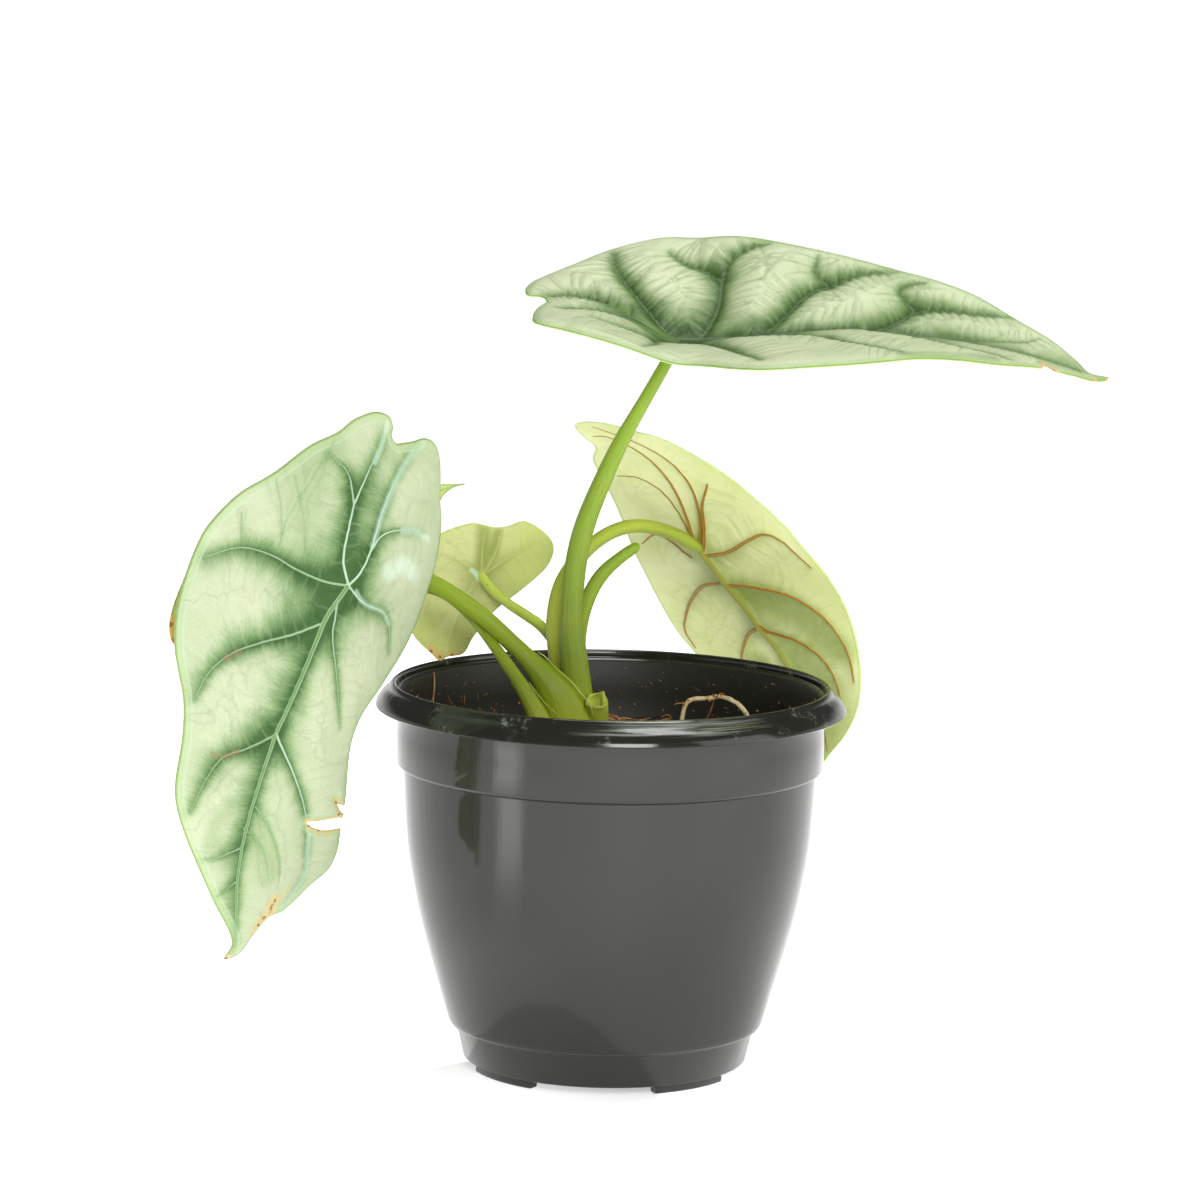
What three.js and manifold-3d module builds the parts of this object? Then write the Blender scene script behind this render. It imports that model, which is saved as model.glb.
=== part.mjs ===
import * as THREE from 'three';
import Module from 'manifold-3d';

const wasm = await Module();
wasm.setup();

// All lengths are millimetres. Z is up and the floor is at zero.
// X runs to the viewer's right and Y away from the viewer.
// Shapes are drawn about the pot's axis. The whole plant is then moved by these two
// offsets, so that the middle of its outer box stands over the origin.
const potAxisX = -8.0;
const potAxisY = -4.0;

const clearance = 0.3;
const potSegments = 36;

// Solid helpers

// Turns a three.js geometry into a solid that can be joined and cut.
function toSolid(geometry) {
  const position = geometry.getAttribute('position');
  const keys = new Map();
  const vertices = [];
  const remap = [];
  for (let i = 0; i < position.count; i += 1) {
    const x = position.getX(i);
    const y = position.getY(i);
    const z = position.getZ(i);
    const key = [x, y, z].map((value) => Math.round(value * 1e4)).join(' ');
    if (!keys.has(key)) {
      keys.set(key, vertices.length / 3);
      vertices.push(x, y, z);
    }
    remap.push(keys.get(key));
  }
  const corners = geometry.index ? Array.from(geometry.index.array) : remap.map((_, i) => i);
  const triangles = [];
  for (let i = 0; i < corners.length; i += 3) {
    const a = remap[corners[i]];
    const b = remap[corners[i + 1]];
    const c = remap[corners[i + 2]];
    if (a !== b && b !== c && a !== c) {
      triangles.push(a, b, c);
    }
  }
  return new wasm.Manifold(new wasm.Mesh({
    numProp: 3,
    vertProperties: new Float32Array(vertices),
    triVerts: new Uint32Array(triangles),
  }));
}

// Turns a solid back into a three.js geometry. A cut can leave slivers behind, so
// only the largest piece is kept.
function toGeometry(solid) {
  const pieces = solid.decompose();
  pieces.sort((a, b) => b.volume() - a.volume());
  const mesh = pieces[0].getMesh();
  const geometry = new THREE.BufferGeometry();
  const stride = mesh.numProp;
  const positions = [];
  for (let i = 0; i < mesh.vertProperties.length; i += stride) {
    positions.push(mesh.vertProperties[i], mesh.vertProperties[i + 1], mesh.vertProperties[i + 2]);
  }
  geometry.setAttribute('position', new THREE.Float32BufferAttribute(positions, 3));
  geometry.setIndex(Array.from(mesh.triVerts));
  geometry.computeVertexNormals();
  return geometry;
}

function material(color, roughness) {
  return new THREE.MeshStandardMaterial({ color, roughness, metalness: 0 });
}

function lathe(profile) {
  const points = profile.map(([radius, height]) => new THREE.Vector2(radius, height));
  const geometry = new THREE.LatheGeometry(points, potSegments);
  geometry.rotateX(Math.PI / 2);
  return geometry;
}

// Pot
// A moulded thin-walled nursery pot. It has a rolled rim, a plain band, a step, a cup
// that curves in towards the foot, a foot ring and four feet under the ring.

const rimRadius = 65.3;
const rimEdgeHeight = 101.1;
const lipRadius = 59.6;
const lipHeight = 107.6;
const ledgeHeight = 104.9;
const wall = 1.3;
const bandRadius = 59.3;
const bandFoot = 85.3;
const bandTop = 103.4;
const ringTopRadius = 41.6;
const ringTopHeight = 11.7;
const ringFootRadius = 39.5;
const ringFootHeight = 2.3;
const ringThickness = 1.4;
const floorUnderside = 7.0;
const floorTop = 8.6;

// Outside of the cup from the foot ring's step up to the band's step.
const cupOutside = [
  [43.8, 12.6], [45.5, 18.4], [48.9, 29.8], [52.0, 41.2], [54.4, 52.6], [56.1, 64.0],
  [57.3, 82.6],
];

// Inside of the same wall, one wall thickness in, from the floor up to the inner ledge.
const potInside = [
  [38.4, floorTop],
  [39.7, 9.8],
  [40.2, 13.2],
  [42.6, 14.6],
  ...cupOutside.slice(1).map(([radius, height]) => [radius - wall, height + 0.2]),
  [bandRadius - wall, bandFoot + 1.5],
  [bandRadius - wall, ledgeHeight],
];

function potGeometry() {
  const profile = [
    [0, floorUnderside],
    [ringFootRadius - ringThickness + 1.1, floorUnderside],
    [ringFootRadius - ringThickness, ringFootHeight],
    [ringFootRadius, ringFootHeight],
    [ringTopRadius, ringTopHeight],
    ...cupOutside,
    [bandRadius - 0.5, bandFoot],
    [bandRadius, bandFoot + 0.6],
    [bandRadius, bandTop],
    [bandRadius + 0.9, bandTop + 0.9],
    [bandRadius + 2.0, bandTop + 0.9],
    [rimRadius - wall, rimEdgeHeight],
    [rimRadius, rimEdgeHeight],
    [rimRadius - 0.7, 103.0],
    [rimRadius - 3.3, 105.8],
    [lipRadius + 0.7, lipHeight],
    [lipRadius, lipHeight - 0.1],
    [lipRadius - 0.3, 105.4],
    ...[...potInside].reverse(),
    [0, floorTop],
  ];
  let solid = toSolid(lathe(profile));
  const footTurns = [-50, 40, 130, 220];
  for (const turn of footTurns) {
    solid = solid.add(toSolid(footGeometry(turn)));
  }
  const drainHoleCount = 6;
  const drainHoleRadius = 4;
  const drainCircleRadius = 25;
  for (let i = 0; i < drainHoleCount; i += 1) {
    const angle = (2 * Math.PI * i) / drainHoleCount;
    const hole = new THREE.CylinderGeometry(drainHoleRadius, drainHoleRadius, 6, 12);
    hole.rotateX(Math.PI / 2);
    hole.translate(
      drainCircleRadius * Math.cos(angle),
      drainCircleRadius * Math.sin(angle),
      (floorUnderside + floorTop) / 2,
    );
    solid = solid.subtract(toSolid(hole));
  }
  return toGeometry(solid);
}

// One foot: a short arc of the ring that stands proud below it. Turn is in degrees from
// the side that faces the viewer.
function footGeometry(turn) {
  const halfSpread = 18;
  const outer = 38.3;
  const inner = 34.5;
  const start = THREE.MathUtils.degToRad(turn - 90 - halfSpread);
  const end = THREE.MathUtils.degToRad(turn - 90 + halfSpread);
  const shape = new THREE.Shape();
  shape.absarc(0, 0, outer, start, end, false);
  shape.absarc(0, 0, inner, end, start, true);
  shape.closePath();
  return new THREE.ExtrudeGeometry(shape, {
    depth: floorUnderside + 0.4,
    bevelEnabled: false,
    curveSegments: 3,
  });
}

// Leaves
// Each blade is drawn flat in its own leaf plane: u runs along the midrib from the place
// where the stalk joins (the junction) to the tip, v runs across it. The flat blade is
// then bent by a height above that plane.

const topLeaf = {
  junction: [17, 0, 204.5],
  tip: [134.1, -6, 195.8],
  across: [0.075, 0.927, 0.367],
  arch: 9,
  lift: 6.5,
  droop: 0,
  fold: 0.23,
  foldBack: 0.08,
  rollBack: -0.22,
  curl: 0,
  outline: [
    [-43.9, 8.9], [-42.5, 4.9], [-39.2, 5.2], [-37.4, 2.2], [-38.9, -6.2], [-39.4, -19.2],
    [-37.8, -28.1], [-29.2, -31.3], [-18.8, -33], [-7.4, -33.9], [6.5, -35], [17.3, -41.2],
    [25.8, -44.1], [43.3, -40.7], [53.7, -35.5], [65.2, -27], [74.9, -22.5], [86.5, -18.5],
    [98.8, -10.5], [107.6, -8.2], [113.5, -6.5], [117.6, 0], [112.5, -1.5], [108.8, 2.7],
    [102, 8.2], [90.7, 13.6], [79.4, 19.7], [68.2, 23.2], [57.1, 25.7], [45.9, 29.3],
    [32.4, 33.9], [17.8, 39.4], [6.6, 44.2], [-5.8, 47.6], [-14, 46.6], [-24, 42.6],
    [-32.5, 33.8], [-40.1, 22.4], [-42.8, 16.4],
  ],
  midrib: [[-30, 2], [0, 0], [20, -3], [37, -2.4], [58, 1], [75, -1.8], [108, -3]],
};

const leftLeaf = {
  junction: [-70.4, -48, 140.5],
  tip: [-102.4, -55, 39.8],
  across: [0.738, 0.616, -0.277],
  arch: 6,
  lift: 0,
  droop: -84,
  fold: -0.22,
  foldBack: -0.22,
  rollBack: 0,
  curl: -0.15,
  outline: [
    [-45.7, 2.3], [-45.2, 7.5], [-43.1, 8.4], [-40.7, 7.8], [-39.2, 9.4], [-39.6, 12],
    [-40.7, 16.8], [-42.3, 22.4], [-41.7, 26.5], [-39.4, 28.6], [-27.1, 29.9], [-22.8, 31.2],
    [-8.9, 32], [8.5, 29], [23.3, 21.5], [33.1, 16], [41.2, 15.2], [57.3, 20.6],
    [64, 22.5], [70.7, 24.7], [76, 24.2], [81.3, 19.3], [89.3, 13.2], [92.1, 8.6],
    [97.5, 5.9], [103.6, 4.1], [105.9, 0], [101.5, 0.2], [90, -11.5], [73.8, -26.4],
    [64.9, -31.9], [49.4, -35], [40.9, -37.4], [27.9, -43.4], [16.9, -45.4], [0.9, -43.9],
    [-5.4, -42.2], [-14.8, -36.7], [-23, -28], [-32.5, -18.5], [-37.8, -10.6], [-42.4, -5.2],
  ],
  midrib: [[-25, 0], [0, 0], [14, -5.6], [31, -8.7], [57, -10.8], [84, -6.4], [101, 0]],
};

const rightLeaf = {
  junction: [25.7, 46, 139.1],
  tip: [57.4, 66, 61.6],
  across: [-0.725, 0.678, -0.122],
  arch: 8,
  lift: 0,
  droop: -60,
  fold: 0,
  foldBack: 0,
  rollBack: 0,
  curl: 0,
  outline: [
    [-53.6, 5.6], [-55.3, -1], [-53.8, -6.7], [-48.2, -13.3], [-45.7, -17], [-35.8, -21.8],
    [-26, -26.2], [-17.8, -29.4], [-10, -33.3], [-0.6, -37], [10.6, -38.8], [23.3, -38.5],
    [35.3, -36.2], [47.4, -32.3], [56.7, -27.6], [65, -20.3], [72.7, -10.5], [79, -4.5],
    [86, 0], [80, 3.5], [72, 9], [62, 15.5], [52, 21], [39.9, 27.3],
    [30.8, 31], [18.1, 31.3], [0, 28], [-12.3, 25.8], [-29.9, 20.9], [-36.6, 17.1],
    [-42.3, 10.5], [-47, 9.5],
  ],
  midrib: [[-35, 2], [0, 0], [13, -0.4], [28, -3.1], [44, -7.2], [60, -6], [82, -1]],
};

const smallLeaf = {
  junction: [-37.1, 20, 134.7],
  tip: [-49, 17, 110.5],
  across: [-0.874, -0.181, 0.452],
  arch: 2,
  lift: 0,
  droop: 0,
  fold: 0.1,
  foldBack: 0.1,
  rollBack: 0,
  curl: 0,
  outline: [
    [-9.1, 11.8], [-11.8, 8.4], [-12.8, 4.8], [-13.6, 2.1], [-15.5, -0.7], [-18.6, -4],
    [-18.8, -8.9], [-17.1, -14.1], [-14.9, -15.8], [-11, -16.3], [-7, -15.2], [2.7, -10.9],
    [8.2, -8.6], [17.2, -6.7], [22.2, -6.2], [25.2, -2.2], [27, -0.9], [26.3, 2],
    [23.4, 9.7], [16, 14], [7, 17.3], [-1, 17.5], [-5, 15.4],
  ],
  midrib: [[-10, 0], [0, 0], [22, 0]],
};

const oldLeaf = {
  junction: [-93.6, -48, 136.3],
  tip: [-40.9, 2, 162.3],
  across: [-0.455, 0.017, 0.89],
  arch: 3,
  lift: 0,
  droop: -30,
  fold: -0.1,
  foldBack: -0.1,
  rollBack: 0,
  curl: 0,
  outline: [
    [77.2, 0], [71, 3], [66, 4.8], [58, 8], [48, 13.5], [30, 20], [12, 22], [-2, 21],
    [-12, 18.5], [-19.1, 13.6], [-24.4, 9.1], [-27.4, 5.2], [-28.4, 1.5], [-25.5, -4],
    [-21, -10], [-12, -17], [2, -20], [14, -17], [24, -11], [33, -6], [45, -5], [58, -4.8],
    [67, -3],
  ],
  midrib: [[-15, 0], [0, 0], [30, 3], [68, 1]],
};

const bladeHalfThickness = 0.45;
const midribThickening = 0.7;

// Height of a blade above its leaf plane. Arch bows it between junction and tip, lift and
// droop shape the lobes behind the junction, fold opens or closes it along the midrib.
function bladeHeight(leaf, frontLength, u, v) {
  const smoothing = 0.04;
  const rollStart = -45;
  const rollSpan = 65;
  const foldSoftness = 6;
  const liftLength = 15;
  const t = u / frontLength;
  const ahead = (t + Math.hypot(t, smoothing)) / 2;
  const behind = t - ahead;
  const ramp = THREE.MathUtils.clamp((u - rollStart) / rollSpan, 0, 1);
  const frontShare = ramp * ramp * (3 - 2 * ramp);
  const fold = leaf.fold * frontShare + leaf.foldBack * (1 - frontShare);
  return leaf.arch * 4 * ahead * (1 - ahead)
    + leaf.droop * behind * behind
    + leaf.lift * (1 - Math.exp((behind * frontLength) / liftLength))
    + fold * (Math.hypot(v, foldSoftness) - foldSoftness)
    + leaf.curl * v * v / 100
    + leaf.rollBack * v * (1 - frontShare);
}

// Linear reading of the midrib's sideways position at a given u.
function midribOffset(leaf, u) {
  const line = leaf.midrib;
  for (let i = 1; i < line.length; i += 1) {
    if (u <= line[i][0]) {
      const share = THREE.MathUtils.clamp((u - line[i - 1][0]) / (line[i][0] - line[i - 1][0]), 0, 1);
      return THREE.MathUtils.lerp(line[i - 1][1], line[i][1], share);
    }
  }
  return line[line.length - 1][1];
}

// Fills the narrow ring round the midrib with triangles that step along it from the lobes
// to the tip, taking the next point on whichever side lags behind.
function midribStrip(ring) {
  const count = ring.length;
  let back = 0;
  let front = 0;
  for (let k = 1; k < count; k += 1) {
    back = ring[k][0] < ring[back][0] ? k : back;
    front = ring[k][0] > ring[front][0] ? k : front;
  }
  const triangles = [];
  let rising = back;
  let falling = back;
  while (rising !== front || falling !== front) {
    const nextRising = (rising + 1) % count;
    const nextFalling = (falling + count - 1) % count;
    const risingLags = ring[nextRising][0] <= ring[nextFalling][0];
    if (rising !== front && (falling === front || risingLags)) {
      if (rising !== falling && nextRising !== falling) {
        triangles.push([rising, nextRising, falling]);
      }
      rising = nextRising;
    } else {
      if (rising !== falling && nextFalling !== rising) {
        triangles.push([rising, nextFalling, falling]);
      }
      falling = nextFalling;
    }
  }
  return triangles;
}

// A closed blade: rings of points shrink from the outline towards the midrib on the upper
// and the lower face, and a strip joins the two faces round the edge.
function bladeGeometry(leaf, edgePoints, extra) {
  const junction = new THREE.Vector3(...leaf.junction);
  const frontLength = junction.distanceTo(new THREE.Vector3(...leaf.tip));
  const flat = leaf.outline.map(([u, v]) => new THREE.Vector3(u, v, 0));
  const edge = new THREE.CatmullRomCurve3(flat, true, 'centripetal').getSpacedPoints(edgePoints);
  edge.pop();
  const firstU = leaf.midrib[0][0];
  const lastU = leaf.midrib[leaf.midrib.length - 1][0];
  const rings = [1, 0.7, 0.4, 0.12];
  const upper = [];
  const lower = [];
  function addPoint(u, v, ringShare) {
    const height = bladeHeight(leaf, frontLength, u, v);
    const thickening = midribThickening * Math.pow(1 - ringShare, 3);
    upper.push([u, v, height + bladeHalfThickness + extra]);
    lower.push([u, v, height - bladeHalfThickness - thickening - extra]);
  }
  for (const ringShare of rings) {
    for (const point of edge) {
      const middleU = THREE.MathUtils.clamp(point.x, firstU, lastU);
      const middleV = midribOffset(leaf, middleU);
      addPoint(
        THREE.MathUtils.lerp(middleU, point.x, ringShare),
        THREE.MathUtils.lerp(middleV, point.y, ringShare),
        ringShare,
      );
    }
  }
  const count = edge.length;
  const faceSize = rings.length * count;
  const triangles = [];
  const area = THREE.ShapeUtils.area(edge);
  function addTriangle(a, b, c) {
    if (area > 0) {
      triangles.push(a, b, c);
    } else {
      triangles.push(a, c, b);
    }
  }
  for (let k = 0; k < count; k += 1) {
    const next = (k + 1) % count;
    for (let ring = 0; ring + 1 < rings.length; ring += 1) {
      const outer = ring * count;
      const inner = outer + count;
      addTriangle(outer + k, outer + next, inner + next);
      addTriangle(outer + k, inner + next, inner + k);
      addTriangle(faceSize + outer + k, faceSize + inner + next, faceSize + outer + next);
      addTriangle(faceSize + outer + k, faceSize + inner + k, faceSize + inner + next);
    }
    addTriangle(k, faceSize + k, faceSize + next);
    addTriangle(k, faceSize + next, next);
  }
  const innermost = (rings.length - 1) * count;
  for (const [a, b, c] of midribStrip(upper.slice(innermost))) {
    addTriangle(innermost + a, innermost + b, innermost + c);
    addTriangle(faceSize + innermost + a, faceSize + innermost + c, faceSize + innermost + b);
  }
  const geometry = new THREE.BufferGeometry();
  const positions = [...upper, ...lower].flat();
  geometry.setAttribute('position', new THREE.Float32BufferAttribute(positions, 3));
  geometry.setIndex(triangles);
  geometry.computeVertexNormals();
  return geometry;
}

// Turns the leaf plane to its place on the plant.
function leafMatrix(leaf) {
  const junction = new THREE.Vector3(...leaf.junction);
  const along = new THREE.Vector3(...leaf.tip).sub(junction).normalize();
  const across = new THREE.Vector3(...leaf.across);
  across.addScaledVector(along, -across.dot(along)).normalize();
  const up = new THREE.Vector3().crossVectors(along, across);
  return new THREE.Matrix4().makeBasis(along, across, up).setPosition(junction);
}

// The torn notch in the left leaf's margin: a thin wedge through the blade.
function tearGeometry() {
  const wedge = new THREE.Shape([
    new THREE.Vector2(63.7, 7.6),
    new THREE.Vector2(60.6, 26),
    new THREE.Vector2(65.4, 26),
  ]);
  const geometry = new THREE.ExtrudeGeometry(wedge, { depth: 30, bevelEnabled: false });
  geometry.translate(0, 0, -15);
  return geometry;
}

// Stalks
// Each path lists x, y, z and radius from the corm upwards.

const stalkPaths = {
  topStalk: [
    [-8, 1, 80, 4.2], [-8.4, 0.6, 95, 4.4], [-9.2, 0, 103, 4.3], [-10.1, -0.6, 111.1, 4.0],
    [-11.1, -1, 122.5, 3.25], [-11.2, -1, 129.8, 3.0], [-10.5, -1, 140.4, 3.0],
    [-8.4, -1, 151, 2.85], [-3.4, -1, 164.5, 2.5], [1.6, -1, 175.6, 2.15],
    [7.7, -1, 186.8, 1.8], [13.8, 0, 197.9, 1.6], [17.5, 0, 205.5, 1.5], [18.5, 0, 208, 1.5],
  ],
  leftStalk: [
    [-11.5, -5, 80, 4.3], [-11.2, -5, 90, 4.4], [-12, -5, 97, 4.3], [-15.6, -5, 105.9, 4.0],
    [-19.5, -4.5, 110.9, 3.3], [-23, -4, 114.5, 2.7], [-27, -4, 118.3, 2.45],
    [-34.6, -5.5, 125.5, 2.4], [-44.2, -8.5, 132.9, 2.35], [-51, -14, 137.5, 2.3],
    [-59.3, -25, 142.5, 2.2], [-66.4, -39, 143.1, 1.9], [-70.4, -48, 140.5, 1.6],
  ],
  rightStalk: [
    [-12, 8.5, 80, 3.5], [-12.2, 9, 95, 3.6], [-12.7, 9, 106.8, 3.6], [-14.6, 9, 115.3, 3.35],
    [-15.4, 9, 125.1, 3.0], [-14, 10, 133.5, 2.6], [-10.4, 12, 139.9, 2.2],
    [-6.1, 15, 144.2, 2.0], [-0.6, 20, 147.3, 1.95], [6.9, 29, 147.9, 1.95],
    [16.4, 39, 144.7, 1.85], [23, 44, 140.6, 1.75], [27, 48, 138.3, 1.7],
  ],
  smallStalk: [
    [-12.8, 14.5, 80, 1.9], [-12.6, 15.5, 95, 1.9], [-12.8, 17, 108.4, 1.75],
    [-15.7, 17, 115.4, 1.6], [-20, 17, 120.7, 1.5], [-24.3, 17, 123.7, 1.45],
    [-29.1, 17, 126.8, 1.4], [-33.1, 18, 129.9, 1.4], [-36, 19, 133, 1.4],
    [-37.7, 20.6, 135.4, 1.35],
  ],
  oldStalk: [
    [-17.6, -11.5, 79, 3.0], [-17.7, -12, 92, 3.3], [-19, -12, 97.6, 3.1],
    [-23.7, -10.5, 106.5, 2.2], [-29.3, -8, 114.4, 1.7], [-32.9, -5.6, 118.9, 1.5],
    [-39, -1.6, 125.7, 1.45], [-46, -1.2, 131.6, 1.45], [-54.5, -5, 134.7, 1.4],
    [-63.9, -12, 136, 1.4], [-79.4, -27, 139.7, 1.35], [-90.2, -42, 138.6, 1.3],
    [-94.4, -49.3, 136.4, 1.3],
  ],
  cutStalk: [
    [-9, 5.6, 80, 2.0], [-9.6, 5.6, 110, 2.1], [-8.8, 5.4, 124, 2.1], [-5.9, 5.2, 132.9, 2.0],
    [-2.6, 5.4, 138, 1.9], [1.7, 6, 141.9, 1.65], [5.6, 6.8, 144.7, 1.5],
    [6.9, 7.1, 145.5, 0.9],
  ],
  cutBase: [
    [-2.6, -2, 80, 3.1], [-2.5, -2, 93, 3.1], [-3, -2, 99, 2.7], [-4.2, -2.2, 104, 1.9],
    [-4.8, -2.4, 106, 1.1],
  ],
};

// The thin root that loops out of the soil on the right, with its ends in the soil.
const surfaceRootPath = [
  [18.6, 7, 88.5, 0.5], [19.4, 7.6, 93, 0.5], [20.1, 8, 98, 0.5], [20.9, 8.2, 100.9, 0.5],
  [22.4, 9, 102, 0.5], [25, 10, 102.1, 0.52], [27.8, 10, 102.4, 0.55], [30.3, 10, 102.8, 0.58],
  [33.5, 9, 102.1, 0.6], [36, 8, 100.7, 0.6], [38.4, 7.6, 97.5, 0.6], [40, 7, 93, 0.6],
  [41, 6.4, 88.5, 0.6],
];

// Round rods that follow a path, closed at both ends, with the radius given at each point.
// Extra swells the rod all round and lengthens it at both ends.
function rodGeometry(path, sides, stepsPerSpan, extra) {
  const centres = path.map(([x, y, z]) => new THREE.Vector3(x, y, z));
  const curve = new THREE.CatmullRomCurve3(centres, false, 'catmullrom', 0.5);
  const spans = path.length - 1;
  const ringCount = spans * stepsPerSpan + 1;
  const positions = [];
  const triangles = [];
  const sideways = new THREE.Vector3(1, 0, 0);
  for (let i = 0; i < ringCount; i += 1) {
    const t = i / (ringCount - 1);
    const centre = curve.getPoint(t);
    const tangent = curve.getTangent(t);
    if (i === 0) {
      centre.addScaledVector(tangent, -extra);
    }
    if (i === ringCount - 1) {
      centre.addScaledVector(tangent, extra);
    }
    sideways.addScaledVector(tangent, -sideways.dot(tangent)).normalize();
    const second = new THREE.Vector3().crossVectors(tangent, sideways);
    const span = Math.min(Math.floor(t * spans), spans - 1);
    const radius = extra + THREE.MathUtils.lerp(path[span][3], path[span + 1][3], t * spans - span);
    for (let k = 0; k < sides; k += 1) {
      const angle = (2 * Math.PI * k) / sides;
      const point = centre.clone()
        .addScaledVector(sideways, radius * Math.cos(angle))
        .addScaledVector(second, radius * Math.sin(angle));
      positions.push(point.x, point.y, point.z);
    }
  }
  const start = curve.getPoint(0).addScaledVector(curve.getTangent(0), -extra);
  const end = curve.getPoint(1).addScaledVector(curve.getTangent(1), extra);
  const startIndex = ringCount * sides;
  const endIndex = startIndex + 1;
  positions.push(start.x, start.y, start.z, end.x, end.y, end.z);
  for (let k = 0; k < sides; k += 1) {
    const next = (k + 1) % sides;
    for (let i = 0; i + 1 < ringCount; i += 1) {
      const low = i * sides;
      const high = low + sides;
      triangles.push(low + k, low + next, high + next, low + k, high + next, high + k);
    }
    const last = (ringCount - 1) * sides;
    triangles.push(startIndex, next, k, endIndex, last + k, last + next);
  }
  const geometry = new THREE.BufferGeometry();
  geometry.setAttribute('position', new THREE.Float32BufferAttribute(positions, 3));
  geometry.setIndex(triangles);
  geometry.computeVertexNormals();
  return geometry;
}

// Corm and roots
// The corm is the swollen stem base in the soil. Its feeder roots grow out of it and are
// one body with it.

const feederRoots = [
  [[-14, 4, 70, 1.1], [-24, 14, 60, 1.0], [-30, 20, 46, 0.9], [-26, 24, 30, 0.8], [-16, 24, 16, 0.7]],
  [[-8, 8, 70, 1.1], [4, 20, 62, 1.0], [16, 26, 50, 0.9], [24, 22, 34, 0.8], [22, 12, 18, 0.7]],
  [[-10, -6, 70, 1.1], [-2, -20, 60, 1.0], [10, -30, 48, 0.9], [18, -28, 32, 0.8], [14, -18, 16, 0.7]],
  [[-18, -4, 70, 1.1], [-30, -12, 62, 1.0], [-36, -18, 48, 0.9], [-30, -24, 32, 0.8], [-18, -22, 16, 0.7]],
  [[-11, 1, 68, 1.2], [-8, 2, 54, 1.1], [-2, -2, 40, 1.0], [2, -4, 24, 0.8], [-4, -2, 14, 0.7]],
];

const cormCentre = [-12.5, 1, 76];
const cormHalfWidth = 12;
const cormHalfDepth = 16;
const cormHalfHeight = 12;

function cormSolid(extra) {
  const ball = new THREE.SphereGeometry(1, 16, 10);
  ball.scale(cormHalfWidth + extra, cormHalfDepth + extra, cormHalfHeight + extra);
  ball.translate(...cormCentre);
  let solid = toSolid(ball);
  for (const path of feederRoots) {
    solid = solid.add(toSolid(rodGeometry(path, 6, 1, extra)));
  }
  return solid;
}

// Soil
// The coir mix fills the pot to about 17 mm under its lip and is heaped round the stalks.
const soilWallHeight = 89.6;
const soilMiddleHeight = 91.4;
const moundRadius = 20;
const moundTop = 96.5;

function soilSolid() {
  const side = potInside.slice(1, -1).map(([radius, height]) => [radius - clearance, height]);
  const profile = [
    [0, floorTop + clearance],
    [potInside[0][0] - clearance, floorTop + clearance],
    ...side,
    [bandRadius - wall - clearance, soilWallHeight],
    [50, soilMiddleHeight - 0.8],
    [30, soilMiddleHeight - 0.2],
    [0, soilMiddleHeight],
  ];
  const moundHalfHeight = 14;
  const mound = new THREE.SphereGeometry(1, 16, 8);
  mound.scale(moundRadius, moundRadius, moundHalfHeight);
  mound.translate(-9, 0, moundTop - moundHalfHeight);
  return toSolid(lathe(profile)).add(toSolid(mound));
}

// Assembly

const plant = new THREE.Group();
plant.position.set(potAxisX, potAxisY, 0);

function addMesh(name, geometry, surface) {
  const mesh = new THREE.Mesh(geometry, surface);
  mesh.name = name;
  plant.add(mesh);
  return mesh;
}

const stalkSides = 8;
const stalkSteps = 2;

function stalkSolid(name, extra) {
  return toSolid(rodGeometry(stalkPaths[name], stalkSides, stalkSteps, extra));
}

// Stalks are cut clear of the corm, of the blade they carry and of the stalks they wrap.
const cormEnvelope = cormSolid(clearance);
const stalkPlan = [
  { key: 'topStalk', node: 'top_leaf_stalk', leaf: topLeaf, wraps: [], color: 0x83a13a },
  { key: 'leftStalk', node: 'left_leaf_stalk', leaf: leftLeaf, wraps: ['topStalk'], color: 0x86a438 },
  { key: 'rightStalk', node: 'right_leaf_stalk', leaf: rightLeaf, wraps: ['topStalk'], color: 0x9fbb4d },
  { key: 'smallStalk', node: 'small_leaf_stalk', leaf: smallLeaf, wraps: ['rightStalk'], color: 0xb4cf6a },
  { key: 'oldStalk', node: 'old_leaf_stalk', leaf: oldLeaf, wraps: ['leftStalk'], color: 0x86a438 },
  { key: 'cutStalk', node: 'cut_stalk', leaf: null, wraps: ['topStalk', 'rightStalk'], color: 0x8fb044 },
  {
    key: 'cutBase',
    node: 'cut_leaf_base',
    leaf: null,
    wraps: ['topStalk', 'leftStalk'],
    color: 0x8ba63f,
  },
];

const leafEdgePoints = 56;
for (const plan of stalkPlan) {
  let solid = stalkSolid(plan.key, 0).subtract(cormEnvelope);
  for (const other of plan.wraps) {
    solid = solid.subtract(stalkSolid(other, clearance));
  }
  if (plan.leaf) {
    const envelope = bladeGeometry(plan.leaf, leafEdgePoints, clearance);
    envelope.applyMatrix4(leafMatrix(plan.leaf));
    solid = solid.subtract(toSolid(envelope));
  }
  addMesh(plan.node, toGeometry(solid), material(plan.color, 0.45));
}

function addBlade(name, leaf, edgePoints, color, cut) {
  let geometry = bladeGeometry(leaf, edgePoints, 0);
  if (cut) {
    geometry = toGeometry(toSolid(geometry).subtract(toSolid(cut)));
  }
  const mesh = addMesh(name, geometry, material(color, 0.5));
  mesh.applyMatrix4(leafMatrix(leaf));
}

addBlade('top_leaf_blade', topLeaf, leafEdgePoints, 0xa3b998);
addBlade('left_leaf_blade', leftLeaf, leafEdgePoints, 0xbdd3ae, tearGeometry());
addBlade('right_leaf_blade', rightLeaf, leafEdgePoints, 0xc9dd8f);
addBlade('small_leaf_blade', smallLeaf, 40, 0xd3dfae);
addBlade('old_leaf_blade', oldLeaf, 44, 0xc7b55a);

addMesh('pot', potGeometry(), material(0x202625, 0.25));

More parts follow.
